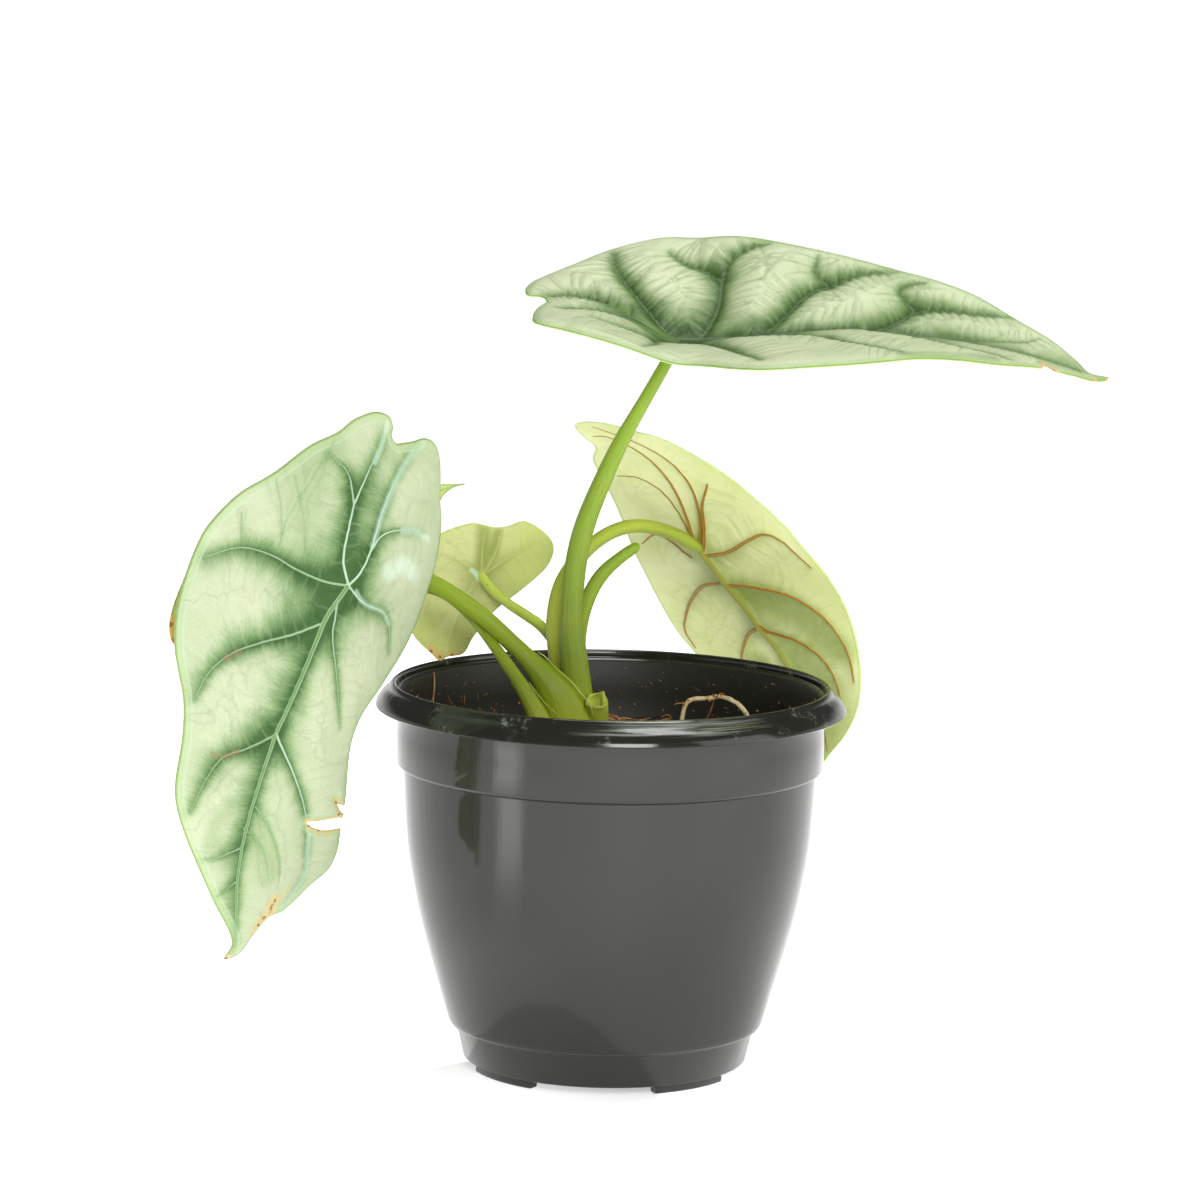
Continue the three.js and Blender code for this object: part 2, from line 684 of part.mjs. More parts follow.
addMesh('corm', toGeometry(cormSolid(0)), material(0xb79a6b, 0.8));

const surfaceRoot = rodGeometry(surfaceRootPath, 8, 1, 0);
addMesh('surface_root', surfaceRoot, material(0xd9c79a, 0.75));

let soil = soilSolid().subtract(cormEnvelope);
for (const plan of stalkPlan) {
  soil = soil.subtract(stalkSolid(plan.key, clearance));
}
soil = soil.subtract(toSolid(rodGeometry(surfaceRootPath, 8, 1, clearance)));
addMesh('soil', toGeometry(soil), material(0x4a3020, 0.95));

export default plant;
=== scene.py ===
import math
import random

import bmesh
import bpy
import numpy as np
from mathutils import Matrix, Vector, noise


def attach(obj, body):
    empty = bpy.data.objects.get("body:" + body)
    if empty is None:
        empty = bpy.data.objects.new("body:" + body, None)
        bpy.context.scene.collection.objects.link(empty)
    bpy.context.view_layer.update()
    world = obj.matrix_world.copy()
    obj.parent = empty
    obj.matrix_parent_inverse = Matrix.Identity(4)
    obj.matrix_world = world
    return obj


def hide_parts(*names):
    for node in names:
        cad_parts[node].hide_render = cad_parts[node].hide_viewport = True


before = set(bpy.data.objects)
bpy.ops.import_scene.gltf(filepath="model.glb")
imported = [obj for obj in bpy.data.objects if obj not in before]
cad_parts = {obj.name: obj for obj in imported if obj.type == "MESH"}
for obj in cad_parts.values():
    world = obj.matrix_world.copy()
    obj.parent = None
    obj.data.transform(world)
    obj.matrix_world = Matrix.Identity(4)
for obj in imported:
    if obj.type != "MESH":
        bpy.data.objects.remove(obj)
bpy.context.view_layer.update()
scene = bpy.context.scene


# Camera
# The photo was taken with a long lens from straight in front and a little above, with the
# camera turned about one degree. Its place is in metres in the plant's own frame.

camera_data = bpy.data.cameras.new("photo_camera")
camera_data.lens = 150
camera_data.sensor_width = 36
camera_data.clip_end = 100
camera = bpy.data.objects.new("photo_camera", camera_data)
camera.matrix_world = Matrix.Translation((-0.008, -1.371, 0.334))
for axis, degrees in (("Z", 0.15), ("X", 81.55), ("Z", 1.09)):
    camera.matrix_world = camera.matrix_world @ Matrix.Rotation(math.radians(degrees), 4, axis)
scene.collection.objects.link(camera)
scene.camera = camera


# Studio
# The plant stands on a white floor in a white surround that darkens overhead. A soft lamp
# stands in front, one at the right, and one hangs overhead. The floor glows, with painted light
# and shade: least under the pot, where a painted shadow lies, more in front of it, and most in a
# painted streak of light that runs off to the front left.

class Signal:
    """One output of a node. Arithmetic on signals adds the Math nodes that work it out."""

    def __init__(self, finish, socket):
        self.finish = finish
        self.socket = socket

    def maths(self, operation, first, second):
        return self.finish.node("ShaderNodeMath", {"operation": operation}, {0: first, 1: second})

    def __add__(self, other):
        return self.maths("ADD", self, other)

    def __radd__(self, other):
        return self.maths("ADD", other, self)

    def __sub__(self, other):
        return self.maths("SUBTRACT", self, other)

    def __rsub__(self, other):
        return self.maths("SUBTRACT", other, self)

    def __mul__(self, other):
        return self.maths("MULTIPLY", self, other)

    def __truediv__(self, other):
        return self.maths("DIVIDE", self, other)

    def __rmul__(self, other):
        return self.maths("MULTIPLY", other, self)

    def between(self, low, high):
        """Rises smoothly from 0 at low to 1 at high. Falls where low is above high."""
        start, end = sorted((low, high))
        inputs = {0: self, 1: start, 2: end, 3: float(low > high), 4: float(high > low)}
        return self.finish.node("ShaderNodeMapRange", {"interpolation_type": "SMOOTHSTEP"}, inputs)

    def vector_maths(self, operation, other, output):
        settings = {"operation": operation}
        return self.finish.node("ShaderNodeVectorMath", settings, {0: self, 1: other}, output)

    def towards(self, direction):
        """How far a place lies in the given direction."""
        return self.vector_maths("DOT_PRODUCT", direction, 1)

    def distance(self, place):
        """How far a place lies from the given one."""
        return self.vector_maths("DISTANCE", place, 1)

    def stretched(self, scales):
        return self.vector_maths("MULTIPLY", scales, 0)


class Finish:
    """The nodes of one surface."""

    def __init__(self, tree):
        self.tree = tree

    def feed(self, socket, value):
        if isinstance(value, Signal):
            self.tree.links.new(value.socket, socket)
        elif socket.type == "RGBA":
            socket.default_value = (*value, 1.0)
        else:
            socket.default_value = value

    def node(self, kind, settings, inputs, output=0):
        made = self.tree.nodes.new(kind)
        for key, value in settings.items():
            setattr(made, key, value)
        for key, value in inputs.items():
            self.feed(made.inputs[key], value)
        return Signal(self, made.outputs[output])

    def mix(self, factor, first, second):
        settings = {"data_type": "RGBA"}
        return self.node("ShaderNodeMix", settings, {0: factor, 6: first, 7: second}, 2)

    def layered(self, base, *layers):
        """Covers a colour with others in turn. Each layer is a factor and a colour."""
        for factor, tone in layers:
            base = self.mix(factor, base, tone)
        return base

    def noise(self, place, scale, detail=2.0, rough=0.5):
        inputs = {"Vector": place, "Scale": scale, "Detail": detail, "Roughness": rough}
        return self.node("ShaderNodeTexNoise", {}, inputs)

    def mark(self, name):
        return self.node("ShaderNodeAttribute", {"attribute_name": name}, {}, "Fac")

    def mark_vector(self, name):
        return self.node("ShaderNodeAttribute", {"attribute_name": name}, {}, "Vector")

    def place(self):
        return self.node("ShaderNodeTexCoord", {}, {}, "Object")

    def height(self):
        """Height above the floor in millimetres."""
        return self.node("ShaderNodeSeparateXYZ", {}, {0: self.place()}, 2) * 1000

    def bump(self, relief, depth):
        return self.node("ShaderNodeBump", {}, {"Height": relief, "Distance": depth})


class Surface(Finish):
    """A material with one Principled shader."""

    def __init__(self, name):
        self.material = bpy.data.materials.new(name)
        self.material.use_nodes = True
        super().__init__(self.material.node_tree)
        self.shader = self.tree.nodes["Principled BSDF"]

    def coat(self, **sockets):
        for key, value in sockets.items():
            self.feed(self.shader.inputs[key.replace("_", " ")], value)


scene.view_settings.view_transform = "Standard"
scene.world = bpy.data.worlds.new("white_surround")
scene.world.use_nodes = True
horizon_light = 1.2
overhead_light = 0.1
surround = Finish(scene.world.node_tree)
direction = surround.node("ShaderNodeTexCoord", {}, {}, "Generated")
rise = surround.node("ShaderNodeSeparateXYZ", {}, {0: direction}, 2).between(0.03, 0.28)
background = scene.world.node_tree.nodes["Background"]
surround.feed(background.inputs["Color"], (1.0, 1.0, 0.99))
surround.feed(background.inputs["Strength"], horizon_light + (overhead_light - horizon_light) * rise)


def soft_lamp(name, place, aim, width, height, power):
    lamp_data = bpy.data.lights.new(name, "AREA")
    lamp_data.shape = "RECTANGLE"
    lamp_data.size = width
    lamp_data.size_y = height
    lamp_data.energy = power
    lamp = bpy.data.objects.new(name, lamp_data)
    lamp.location = place
    lamp.rotation_euler = (Vector(aim) - Vector(place)).to_track_quat("-Z", "Y").to_euler()
    scene.collection.objects.link(lamp)


soft_lamp("front_lamp", (0.16, -1.0, 0.52), (0, 0, 0.12), 0.4, 0.3, 6.2)
soft_lamp("right_lamp", (1.2, -0.55, 0.5), (0, 0, 0.1), 1.0, 1.0, 7.2)
soft_lamp("overhead_lamp", (0.12, 0.1, 1.15), (0, 0, 0.1), 0.8, 0.3, 9.0)

floor_finish = Surface("white_floor")
floor_place = floor_finish.place()
to_front = floor_place.towards((0, -1, 0))
to_left = floor_place.towards((-0.79, -0.61, 0))
beside = floor_place.towards((-0.61, 0.79, 0)) / to_left
# Painted light: a bright strip of glow runs over the floor to the front left, and the floor glows more in
# front of the pot and at its left, for the pot to reflect.
streak = (beside * beside).between(0.026, 0.002) * to_left.between(0.1, 0.34)
painted_light_near_front = to_front.between(0.0, 0.05)
painted_light_in_front = to_front.between(0.03, 0.2)
# Painted shadow: the glow is lower inside a disc at the pot's foot, towards the front left, and in a faint
# patch at its right.
outside_painted_shadow = floor_place.distance((-0.028, -0.037, 0)).between(0.034, 0.038)
painted_shadow_at_right = floor_place.distance((0.05, 0.01, 0)).between(0.08, 0.02)
painted_light_at_left = floor_place.distance((-0.08, -0.04, 0)).between(0.08, 0.03)
least_glow = 0.08
painted_floor_glow = least_glow + 0.03 * painted_light_near_front + 0.08 * painted_light_in_front + 0.1 * outside_painted_shadow
painted_floor_glow = painted_floor_glow + 0.6 * streak - 0.03 * painted_shadow_at_right + 0.05 * painted_light_at_left
floor_finish.coat(
    Base_Color=(0.9, 0.9, 0.9),
    Roughness=0.6,
    Emission_Color=floor_finish.mix(painted_floor_glow, (0.0, 0.0, 0.0), (1.0, 1.0, 1.0)),
    Emission_Strength=5.0,
)
floor_shape = bmesh.new()
bmesh.ops.create_grid(floor_shape, x_segments=1, y_segments=1, size=4)
floor_mesh = bpy.data.meshes.new("studio_floor")
floor_shape.to_mesh(floor_mesh)
floor_shape.free()
floor_mesh.materials.append(floor_finish.material)
studio_floor = bpy.data.objects.new("studio_floor", floor_mesh)
scene.collection.objects.link(studio_floor)


# Pot
# A nursery pot moulded in one shot from near-black plastic: a cup that curves in to a foot
# ring with four feet, a plain band round the top, and a rolled rim with a raised lip.
# Lengths are millimetres, and shapes are drawn about the pot's axis.

pot_axis = (-8.0, -4.0)
to_frame = Matrix.Scale(0.001, 4) @ Matrix.Translation((*pot_axis, 0.0))
wall = 1.3


def add_piece(shape, name, surface, slot, *nodes):
    """Makes a piece of the plant from a shape in millimetres, in the place of the CAD nodes."""
    bmesh.ops.recalc_face_normals(shape, faces=shape.faces[:])
    bmesh.ops.transform(shape, matrix=to_frame, verts=shape.verts)
    mesh = bpy.data.meshes.new(name)
    shape.to_mesh(mesh)
    shape.free()
    mesh.shade_smooth()
    mesh.materials.append(surface.material)
    piece = bpy.data.objects.new(name, mesh)
    scene.collection.objects.link(piece)
    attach(piece, "root")
    if nodes:
        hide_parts(*nodes)
    return piece


def smooth_line(points, closed=False, steps=8):
    """Places on a smooth curve through the given points."""
    line = np.array(points, float)
    if closed:
        line = np.vstack([line[-1:], line, line[:2]])
    else:
        line = np.vstack([2 * line[:1] - line[1:2], line, 2 * line[-1:] - line[-2:-1]])
    share = np.arange(steps)[:, None] / steps
    spans = []
    for before, start, end, after in zip(line, line[1:], line[2:], line[3:]):
        near = math.sqrt(math.dist(before, start))
        span = math.sqrt(math.dist(start, end))
        far = math.sqrt(math.dist(end, after))
        leave = (start - before) / near - (end - before) / (near + span) + (end - start) / span
        arrive = (end - start) / span - (after - start) / (span + far) + (after - end) / far
        leave = leave * span
        arrive = arrive * span
        bend = 3 * (end - start) - 2 * leave - arrive
        turn = 2 * (start - end) + leave + arrive
        spans.append(start + leave * share + bend * share**2 + turn * share**3)
    if not closed:
        spans.append(line[-2:-1])
    return np.vstack(spans)


def new_verts(made):
    """The verts among the parts that an operator has made."""
    return [part for part in made["geom"] if isinstance(part, bmesh.types.BMVert)]


def new_edges(made):
    return [part for part in made["geom"] if isinstance(part, bmesh.types.BMEdge)]


def round_axis(radius, angle):
    """The place at an angle round the pot's axis, in radians."""
    return radius * math.cos(angle), radius * math.sin(angle)


def turn_round(shape, profile, degrees, steps):
    """Sweeps a profile round the pot's axis. A full turn is closed."""
    bmesh.ops.spin(
        shape,
        geom=profile,
        axis=(0, 0, 1),
        angle=math.radians(degrees),
        steps=steps,
        use_merge=degrees == 360,
    )


cup = [
    (43.8, 12.9), (45.5, 18.4), (48.9, 29.8), (52.0, 41.2), (54.4, 52.6), (56.1, 64.0),
    (57.3, 82.6), (57.4, 84.2),
]
rim_roll = [(65.25, 101.3), (65.0, 102.2), (64.4, 103.3), (63.5, 104.5), (62.2, 105.6)]
lip = [(61.7, 106.0), (61.1, 107.1), (60.3, 107.6), (59.6, 107.3), (59.35, 106.4), (59.3, 105.4)]

pot_outline = [(38.1, 2.3), (39.1, 2.3), (39.5, 2.7), (41.5, 11.3), (41.9, 11.8), (43.3, 12.2)]
pot_outline += smooth_line(cup, steps=4).tolist()
pot_outline += [(58.4, 84.7), (59.0, 85.0), (59.3, 85.7), (59.3, 94.0), (59.3, 103.0)]
pot_outline += [(60.0, 104.0), (61.4, 104.4), (62.6, 103.9), (63.8, 101.4), (64.4, 100.95), (64.9, 101.0)]
pot_outline += smooth_line(rim_roll, steps=3).tolist()
pot_outline += smooth_line(lip, steps=3).tolist()
pot_outline += [(58.9, 105.0), (58.3, 104.8), (58.0, 104.3), (58.0, 95.0), (58.0, 86.6)]
pot_outline += [(radius - wall, level + 0.2) for radius, level in smooth_line(cup[:-1], steps=2)[::-1]]
pot_outline += [(40.2, 12.4), (39.6, 9.8), (38.2, 8.6), (31.0, 8.6), (31.0, 7.0), (38.1, 7.0)]

pot_shape = bmesh.new()
profile = [pot_shape.verts.new((radius, 0, level)) for radius, level in pot_outline]
for low, high in zip(profile, profile[1:] + profile[:1]):
    pot_shape.edges.new((low, high))
turn_round(pot_shape, pot_shape.verts[:] + pot_shape.edges[:], 360, 160)

# One foot is a short block on the ring's circle.
foot_spread = 36
foot_profile = [(34.5, 7.2), (34.5, 0.4), (34.9, 0), (37.9, 0), (38.3, 0.4), (38.3, 7.2)]
for foot_middle in (-50, 40, 130, 220):
    start = Matrix.Rotation(math.radians(foot_middle - 90 - foot_spread / 2), 3, "Z")
    corners = [pot_shape.verts.new(start @ Vector((radius, 0, level))) for radius, level in foot_profile]
    turn_round(pot_shape, [pot_shape.faces.new(corners)], foot_spread, 8)

# The floor is a disc with six drain holes.
hole_count = 6
hole_circle = 25
hole_radius = 4
floor_radius = 31.3
floor_underside = 7.05
floor_depth = 1.5
floor_disc = bmesh.new()
bmesh.ops.create_circle(floor_disc, segments=96, radius=floor_radius)
for hole in range(hole_count):
    centre = Matrix.Translation((*round_axis(hole_circle, 2 * math.pi * hole / hole_count), 0))
    bmesh.ops.create_circle(floor_disc, segments=24, radius=hole_radius, matrix=centre)
bmesh.ops.triangle_fill(floor_disc, edges=floor_disc.edges[:], use_beauty=True)
bmesh.ops.translate(floor_disc, vec=(0, 0, floor_underside), verts=floor_disc.verts)
raised = bmesh.ops.extrude_face_region(floor_disc, geom=floor_disc.faces[:], use_keep_orig=True)
bmesh.ops.translate(floor_disc, vec=(0, 0, floor_depth), verts=new_verts(raised))
floor_part = bpy.data.meshes.new("pot_floor_part")
floor_disc.to_mesh(floor_part)
floor_disc.free()
pot_shape.from_mesh(floor_part)

pot_plastic = Surface("pot_plastic")
pot_place = pot_plastic.place()
flow = pot_plastic.noise(pot_place.stretched((420, 420, 18)), 1.0, 3.0)
smear = pot_plastic.noise(pot_place, 70.0, 5.0, 0.65)
fleck = pot_plastic.noise(pot_place, 900.0, 3.0, 0.7)
highlight_streak_noise = pot_plastic.noise(pot_place.stretched((40, 40, 2200)), 1.0, 3.0, 0.6)
inner = pot_plastic.mark("inner_wall")
near_rim = pot_plastic.height().between(99.0, 103.0) * (1 - inner)
scuff = smear.between(0.54, 0.68) * near_rim * fleck.between(0.44, 0.62)
# Painted highlight: thin pale streaks on the rim's upper slope at the front right stand in for a lamp's
# reflection; the scuffs near the rim are real wear.
front_right = pot_place.towards((0.3, -0.95, 0)).between(0.056, 0.066)
painted_rim_highlight = highlight_streak_noise.between(0.45, 0.65) * pot_plastic.height().between(103.4, 104.4) * front_right
dust = inner * fleck.between(0.45, 0.75)
near_black = (0.013, 0.013, 0.01)
scuff_and_highlight = (0.36, 0.4, 0.34)
dusty = (0.035, 0.032, 0.02)
pot_plastic.coat(
    Base_Color=pot_plastic.layered(
        near_black,
        (scuff * 0.35 + painted_rim_highlight * 0.55, scuff_and_highlight),
        (dust * 0.35, dusty),
    ),
    Roughness=0.09 + 0.05 * flow + 0.25 * scuff + 0.05 * near_rim * smear + 0.42 * inner,
    IOR=1.44,
    Normal=pot_plastic.bump(flow * 0.6 + smear * 0.4, 0.00006),
)
pot_piece = add_piece(pot_shape, "nursery_pot", pot_plastic, "pot_plastic", "pot")
pot_piece.data.set_sharp_from_angle(angle=math.radians(50))
inner_wall = pot_piece.data.attributes.new("inner_wall", "FLOAT", "POINT")
for vert, value in zip(pot_piece.data.vertices, inner_wall.data):
    place = to_frame.inverted() @ vert.co
    value.value = float(place.xy.length < 58.8 and place.z > 85)


# Potting mix
# Loose coir and bark, dark and damp, heaped a little round the stalks. Crumbs and fibres
# lie on it, and some stick to the pot's inner wall above it.

soil_random = random.Random(4)
mix_radius = 57.7


def soil_level(x, y):
    """Height of the mix at a place in the pot."""
    from_axis = math.hypot(x, y)
    from_stalks = math.hypot(x + 5, y - 2) / 20
    level = 89.6 - 1.4 * (from_axis / mix_radius) ** 2
    mound = 83.0 + 14 * math.sqrt(max(0.0, 1 - from_stalks**2))
    lumps = noise.noise(Vector((x, y, 3.0)) * 0.16) * 0.8 + noise.noise(Vector((x, y, 9.0)) * 0.5) * 0.7
    crumbs = noise.noise(Vector((x, y, 17.0)) * 1.1) * 0.45
    return max(level, mound) + lumps + crumbs


soil_shape = bmesh.new()
bmesh.ops.create_grid(soil_shape, x_segments=110, y_segments=110, size=58.5)
outside = [f for f in soil_shape.faces if f.calc_center_median().length > mix_radius - 0.1]
bmesh.ops.delete(soil_shape, geom=outside, context="FACES")
for vert in soil_shape.verts:
    if vert.is_boundary:
        vert.co = vert.co.normalized() * mix_radius
for vert in soil_shape.verts:
    vert.co.z = soil_level(vert.co.x, vert.co.y)
side_edges = [edge for edge in soil_shape.edges if edge.is_boundary]
sides_down = ((80.0, 55.7), (60.0, 53.8), (38.0, 49.7), (20.0, 44.3), (9.0, 38.0))
for level, radius in sides_down:
    wall_ring = bmesh.ops.extrude_edge_only(soil_shape, edges=side_edges)
    side_edges = new_edges(wall_ring)
    for vert in new_verts(wall_ring):
        flat = Vector((vert.co.x, vert.co.y, 0)).normalized() * radius
        vert.co = (flat.x, flat.y, level)
bmesh.ops.edgeloop_fill(soil_shape, edges=side_edges)

soil_mix = Surface("coir_mix")
soil_place = soil_mix.place()
clods = soil_mix.noise(soil_place, 160.0, 4.0, 0.7)
grit = soil_mix.noise(soil_place, 900.0, 4.0, 0.75)
hair = soil_mix.noise(soil_place.stretched((300, 1600, 900)), 1.0, 2.0)
wet_brown = (0.012, 0.007, 0.004)
soil_mix.coat(
    Base_Color=soil_mix.layered(
        wet_brown,
        (clods.between(0.35, 0.65), (0.05, 0.024, 0.011)),
        (grit.between(0.52, 0.72), (0.17, 0.075, 0.027)),
        (hair.between(0.68, 0.76), (0.3, 0.16, 0.07)),
    ),
    Roughness=0.95 - 0.25 * clods,
    Normal=soil_mix.bump(clods + grit * 0.6, 0.0008),
)
add_piece(soil_shape, "potting_mix", soil_mix, "soil_mix", "soil")


def spot_in_pot(reach):
    """A random place within reach of the pot's axis."""
    angle = soil_random.uniform(0, 2 * math.pi)
    return round_axis(reach * math.sqrt(soil_random.random()), angle)


def crumb(shape, place, size):
    """One irregular crumb."""
    angle = soil_random.uniform(0, 6.28)
    axis = Vector((soil_random.random(), soil_random.random(), 1))
    squash = Matrix.Diagonal((1.0, soil_random.uniform(0.5, 0.9), soil_random.uniform(0.35, 0.7), 1.0))
    where = Matrix.Translation(place) @ Matrix.Rotation(angle, 4, axis) @ squash
    made = bmesh.ops.create_icosphere(shape, subdivisions=1, radius=size, matrix=where)
    for vert in made["verts"]:
        vert.co += Vector([soil_random.uniform(-0.25, 0.25) * size for _ in range(3)])


def first_ring(shape, sides):
    """A capped ring of verts that a strand grows from. The turn of each vert is kept on it."""
    turn = shape.verts.layers.float.get("turn") or shape.verts.layers.float.new("turn")
    ring = bmesh.ops.create_circle(shape, cap_ends=True, segments=sides, radius=1)["verts"]
    for number, vert in enumerate(ring):
        vert[turn] = 2 * math.pi * number / sides
    return turn, ring, ring[0].link_faces[0].edges[:]


def next_ring(shape, edges):
    """Extrudes a ring of edges into a new ring of verts and edges."""
    grown = bmesh.ops.extrude_edge_only(shape, edges=edges)
    ring = new_verts(grown)
    fresh = set(ring)
    return ring, [edge for edge in new_edges(grown) if all(vert in fresh for vert in edge.verts)]


def stations(line, sideways):
    """Each place along a line, with the direction ahead and two directions across."""
    for number, place in enumerate(line):
        ahead = line[min(number + 1, len(line) - 1)] - line[max(number - 1, 0)]
        ahead.normalize()
        sideways = (sideways - ahead * sideways.dot(ahead)).normalized()
        yield number, place, ahead, sideways, ahead.cross(sideways)


def fibre(shape, points, radius, sides=5):
    """A thin bent strand through the points, pointed at both ends."""
    line = [Vector(place) for place in smooth_line(points, steps=3)]
    turn, ring, edges = first_ring(shape, sides)
    for number, place, _, sideways, across in stations(line, Vector((0.3, 0.5, 0.8))):
        if number:
            ring, edges = next_ring(shape, edges)
        taper = min(1.0, 0.35 + 0.65 * min(number, len(line) - 1 - number) / 2)
        for vert in ring:
            offset = sideways * math.cos(vert[turn]) + across * math.sin(vert[turn])
            vert.co = place + offset * radius * taper
    bmesh.ops.edgeloop_fill(shape, edges=edges)


def coir_surface(name, dark, light):
    surface = Surface(name)
    place = surface.place()
    tone = surface.noise(place, 260.0, 2.0)
    speck = surface.noise(place, 1500.0, 3.0)
    surface.coat(
        Base_Color=surface.mix(tone.between(0.35, 0.68), dark, light),
        Roughness=0.85,
        Normal=surface.bump(speck, 0.0003),
    )
    return surface


crumbs_on_mix = 420
crumbs_on_wall = 360
coir_crumbs = bmesh.new()
for _ in range(crumbs_on_mix):
    x, y = spot_in_pot(56)
    size = soil_random.uniform(0.35, 1.3) * soil_random.uniform(0.6, 1.2)
    crumb(coir_crumbs, (x, y, soil_level(x, y) + size * 0.2), size)
wall_radius = 57.8
for _ in range(crumbs_on_wall):
    angle = soil_random.uniform(0, 2 * math.pi)
    level = 90.5 + 13.5 * soil_random.random() ** 1.3
    size = soil_random.uniform(0.14, 0.5) * (1.1 if level < 95 else 0.75)
    crumb(coir_crumbs, (*round_axis(wall_radius, angle), level), size)
crumb_brown = coir_surface("coir_crumb", (0.14, 0.05, 0.015), (0.52, 0.23, 0.07))
add_piece(coir_crumbs, "coir_crumbs", crumb_brown, "soil_mix")

strands_on_mix = 110
strands_by_stalks = 46
strands_on_wall = 22
coir_fibres = bmesh.new()


def strand_on_soil(x, y, length):
    """A strand of coir that wanders over the mix and stops short of the wall."""
    heading = soil_random.uniform(0, 2 * math.pi)
    points = []
    for step in range(4):
        heading += soil_random.uniform(-0.6, 0.6)
        points.append((x, y, soil_level(x, y) + soil_random.uniform(0.1, 1.2)))
        x += length / 3 * math.cos(heading)
        y += length / 3 * math.sin(heading)
        if math.hypot(x, y) > 56.5:
            break
    if len(points) > 2:
        fibre(coir_fibres, points, soil_random.uniform(0.09, 0.2))


for _ in range(strands_on_mix):
    strand_on_soil(*spot_in_pot(54), soil_random.uniform(4, 13))
for _ in range(strands_by_stalks):
    strand_on_soil(soil_random.uniform(-1, 9), soil_random.uniform(-3, 9), soil_random.uniform(3, 8))
for _ in range(strands_on_wall):
    angle = soil_random.uniform(0, 2 * math.pi)
    level = soil_random.uniform(92, 99)
    drift = soil_random.uniform(-0.03, 0.03)
    climb = soil_random.uniform(1.0, 3.6)
    points = [
        (*round_axis(mix_radius, angle + drift * step), level + climb * step / 2) for step in range(3)
    ]
    fibre(coir_fibres, points, 0.08)
fibre_tan = coir_surface("coir_fibre", (0.26, 0.1, 0.03), (0.62, 0.33, 0.13))
add_piece(coir_fibres, "coir_fibres", fibre_tan, "soil_mix")


# Corm and surface root
# The corm is the swollen stem base in the mix, out of sight. One cream root loops out of the
# mix on the right, with fine cracks and bits of coir on it, and one dried hair hangs on the
# inner wall at the left.

root_skin = Surface("root_skin")
root_place = root_skin.place()
cracks = root_skin.noise(root_place, 1400.0, 4.0, 0.7)
stain = root_skin.noise(root_place, 420.0, 2.0)
cream = (0.72, 0.6, 0.36)
root_skin.coat(
    Base_Color=root_skin.layered(
        cream,
        (stain.between(0.4, 0.7), (0.5, 0.32, 0.13)),
        (cracks.between(0.58, 0.7), (0.2, 0.1, 0.04)),
    ),
    Roughness=0.75,
    Normal=root_skin.bump(cracks, 0.0003),
)
for slot_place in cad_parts["corm"].material_slots:
    slot_place.material = root_skin.material

surface_root = bmesh.new()
root_path = [
    (18.6, 7, 88.5), (19.4, 7.6, 93), (20.1, 8, 98), (20.9, 8.2, 100.9), (22.4, 9, 102),
    (25, 10, 102.1), (27.8, 10, 102.4), (30.3, 10, 102.8), (33.5, 9, 102.1), (36, 8, 100.7),
    (38.4, 7.6, 97.5), (40, 7, 93), (41, 6.4, 88.5),
]
root_radius = 0.62
fibre(surface_root, root_path, root_radius, sides=12)
for vert in surface_root.verts:
    vert.co += Vector((0, 0, 1)) * noise.noise(vert.co * 0.9) * 0.22
    vert.co += Vector((0, 1, 0)) * noise.noise(vert.co * 1.7) * 0.16
add_piece(surface_root, "loop_root", root_skin, "root_tissue", "surface_root")

root_bits = bmesh.new()
for x, y, z, size in (
    (28.6, 9.6, 103.2, 0.8), (29.6, 9.2, 102.7, 0.6), (27.2, 9.4, 101.8, 0.7), (30.8, 9.3, 103.3, 0.45),
    (20.2, 7.6, 101.0, 0.6), (21.6, 8.0, 101.9, 0.4), (37.8, 7.0, 97.8, 0.7), (36.9, 7.4, 99.6, 0.45),
):
    crumb(root_bits, (x, y, z), size)
fibre(root_bits, [(20.6, 7.8, 101.0), (19.0, 7.2, 101.2), (17.6, 6.8, 100.9)], 0.16)
fibre(root_bits, [(28.8, 9.2, 102.2), (27.8, 8.6, 99.0), (26.2, 8.0, 95.5)], 0.14)
fibre(root_bits, [(29.4, 9.2, 103.0), (30.6, 8.8, 104.0), (31.6, 8.6, 103.8)], 0.14)
add_piece(root_bits, "root_bits", crumb_brown, "root_tissue")

wall_hair = bmesh.new()
hair_path = [(-50.2, 28.0, 105.4), (-50.0, 28.2, 102), (-50.3, 27.9, 97), (-50.0, 28.2, 91)]
fibre(wall_hair, hair_path, 0.24, sides=6)
add_piece(wall_hair, "wall_hair_root", fibre_tan, "root_tissue")


# Stalks
# Fleshy green leaf stalks that grow from the corm and sheathe one another at the base. Each
# is thick at the foot, thins towards its blade and shows fine lengthwise streaks.

def stalk_surface(name, foot, middle, top, levels, speckle=0.0):
    """Waxy green that changes from foot to top at the given heights."""
    surface = Surface(name)
    run = surface.mark_vector("lengthwise")
    level = surface.height()
    streak = surface.noise(run.stretched((4.5, 4.5, 0.3)), 1.0, 4.0, 0.7)
    strand = surface.noise(run.stretched((16.0, 16.0, 0.5)), 1.0, 2.0, 0.6)
    blotch = surface.noise(surface.place(), 120.0, 2.0)
    spot = surface.noise(surface.place(), 700.0, 1.0).between(0.74, 0.8) * speckle
    surface.coat(
        Base_Color=surface.layered(
            foot,
            (level.between(levels[0], levels[1]), middle),
            (level.between(levels[1], levels[2]), top),
            (streak.between(0.45, 0.75) * 0.3, (0.4, 0.5, 0.08)),
            (strand.between(0.5, 0.3) * 0.25, (0.09, 0.16, 0.01)),
            (blotch.between(0.5, 0.75) * 0.22, (0.3, 0.3, 0.03)),
            (spot, (0.16, 0.06, 0.015)),
        ),
        Roughness=0.36 + 0.12 * streak,
        Specular_IOR_Level=0.3,
        Subsurface_Weight=0.12,
        Subsurface_Radius=(0.6, 1.0, 0.2),
        Subsurface_Scale=0.002,
        Normal=surface.bump(strand * 0.7 + streak * 0.3, 0.00025),
    )
    return surface


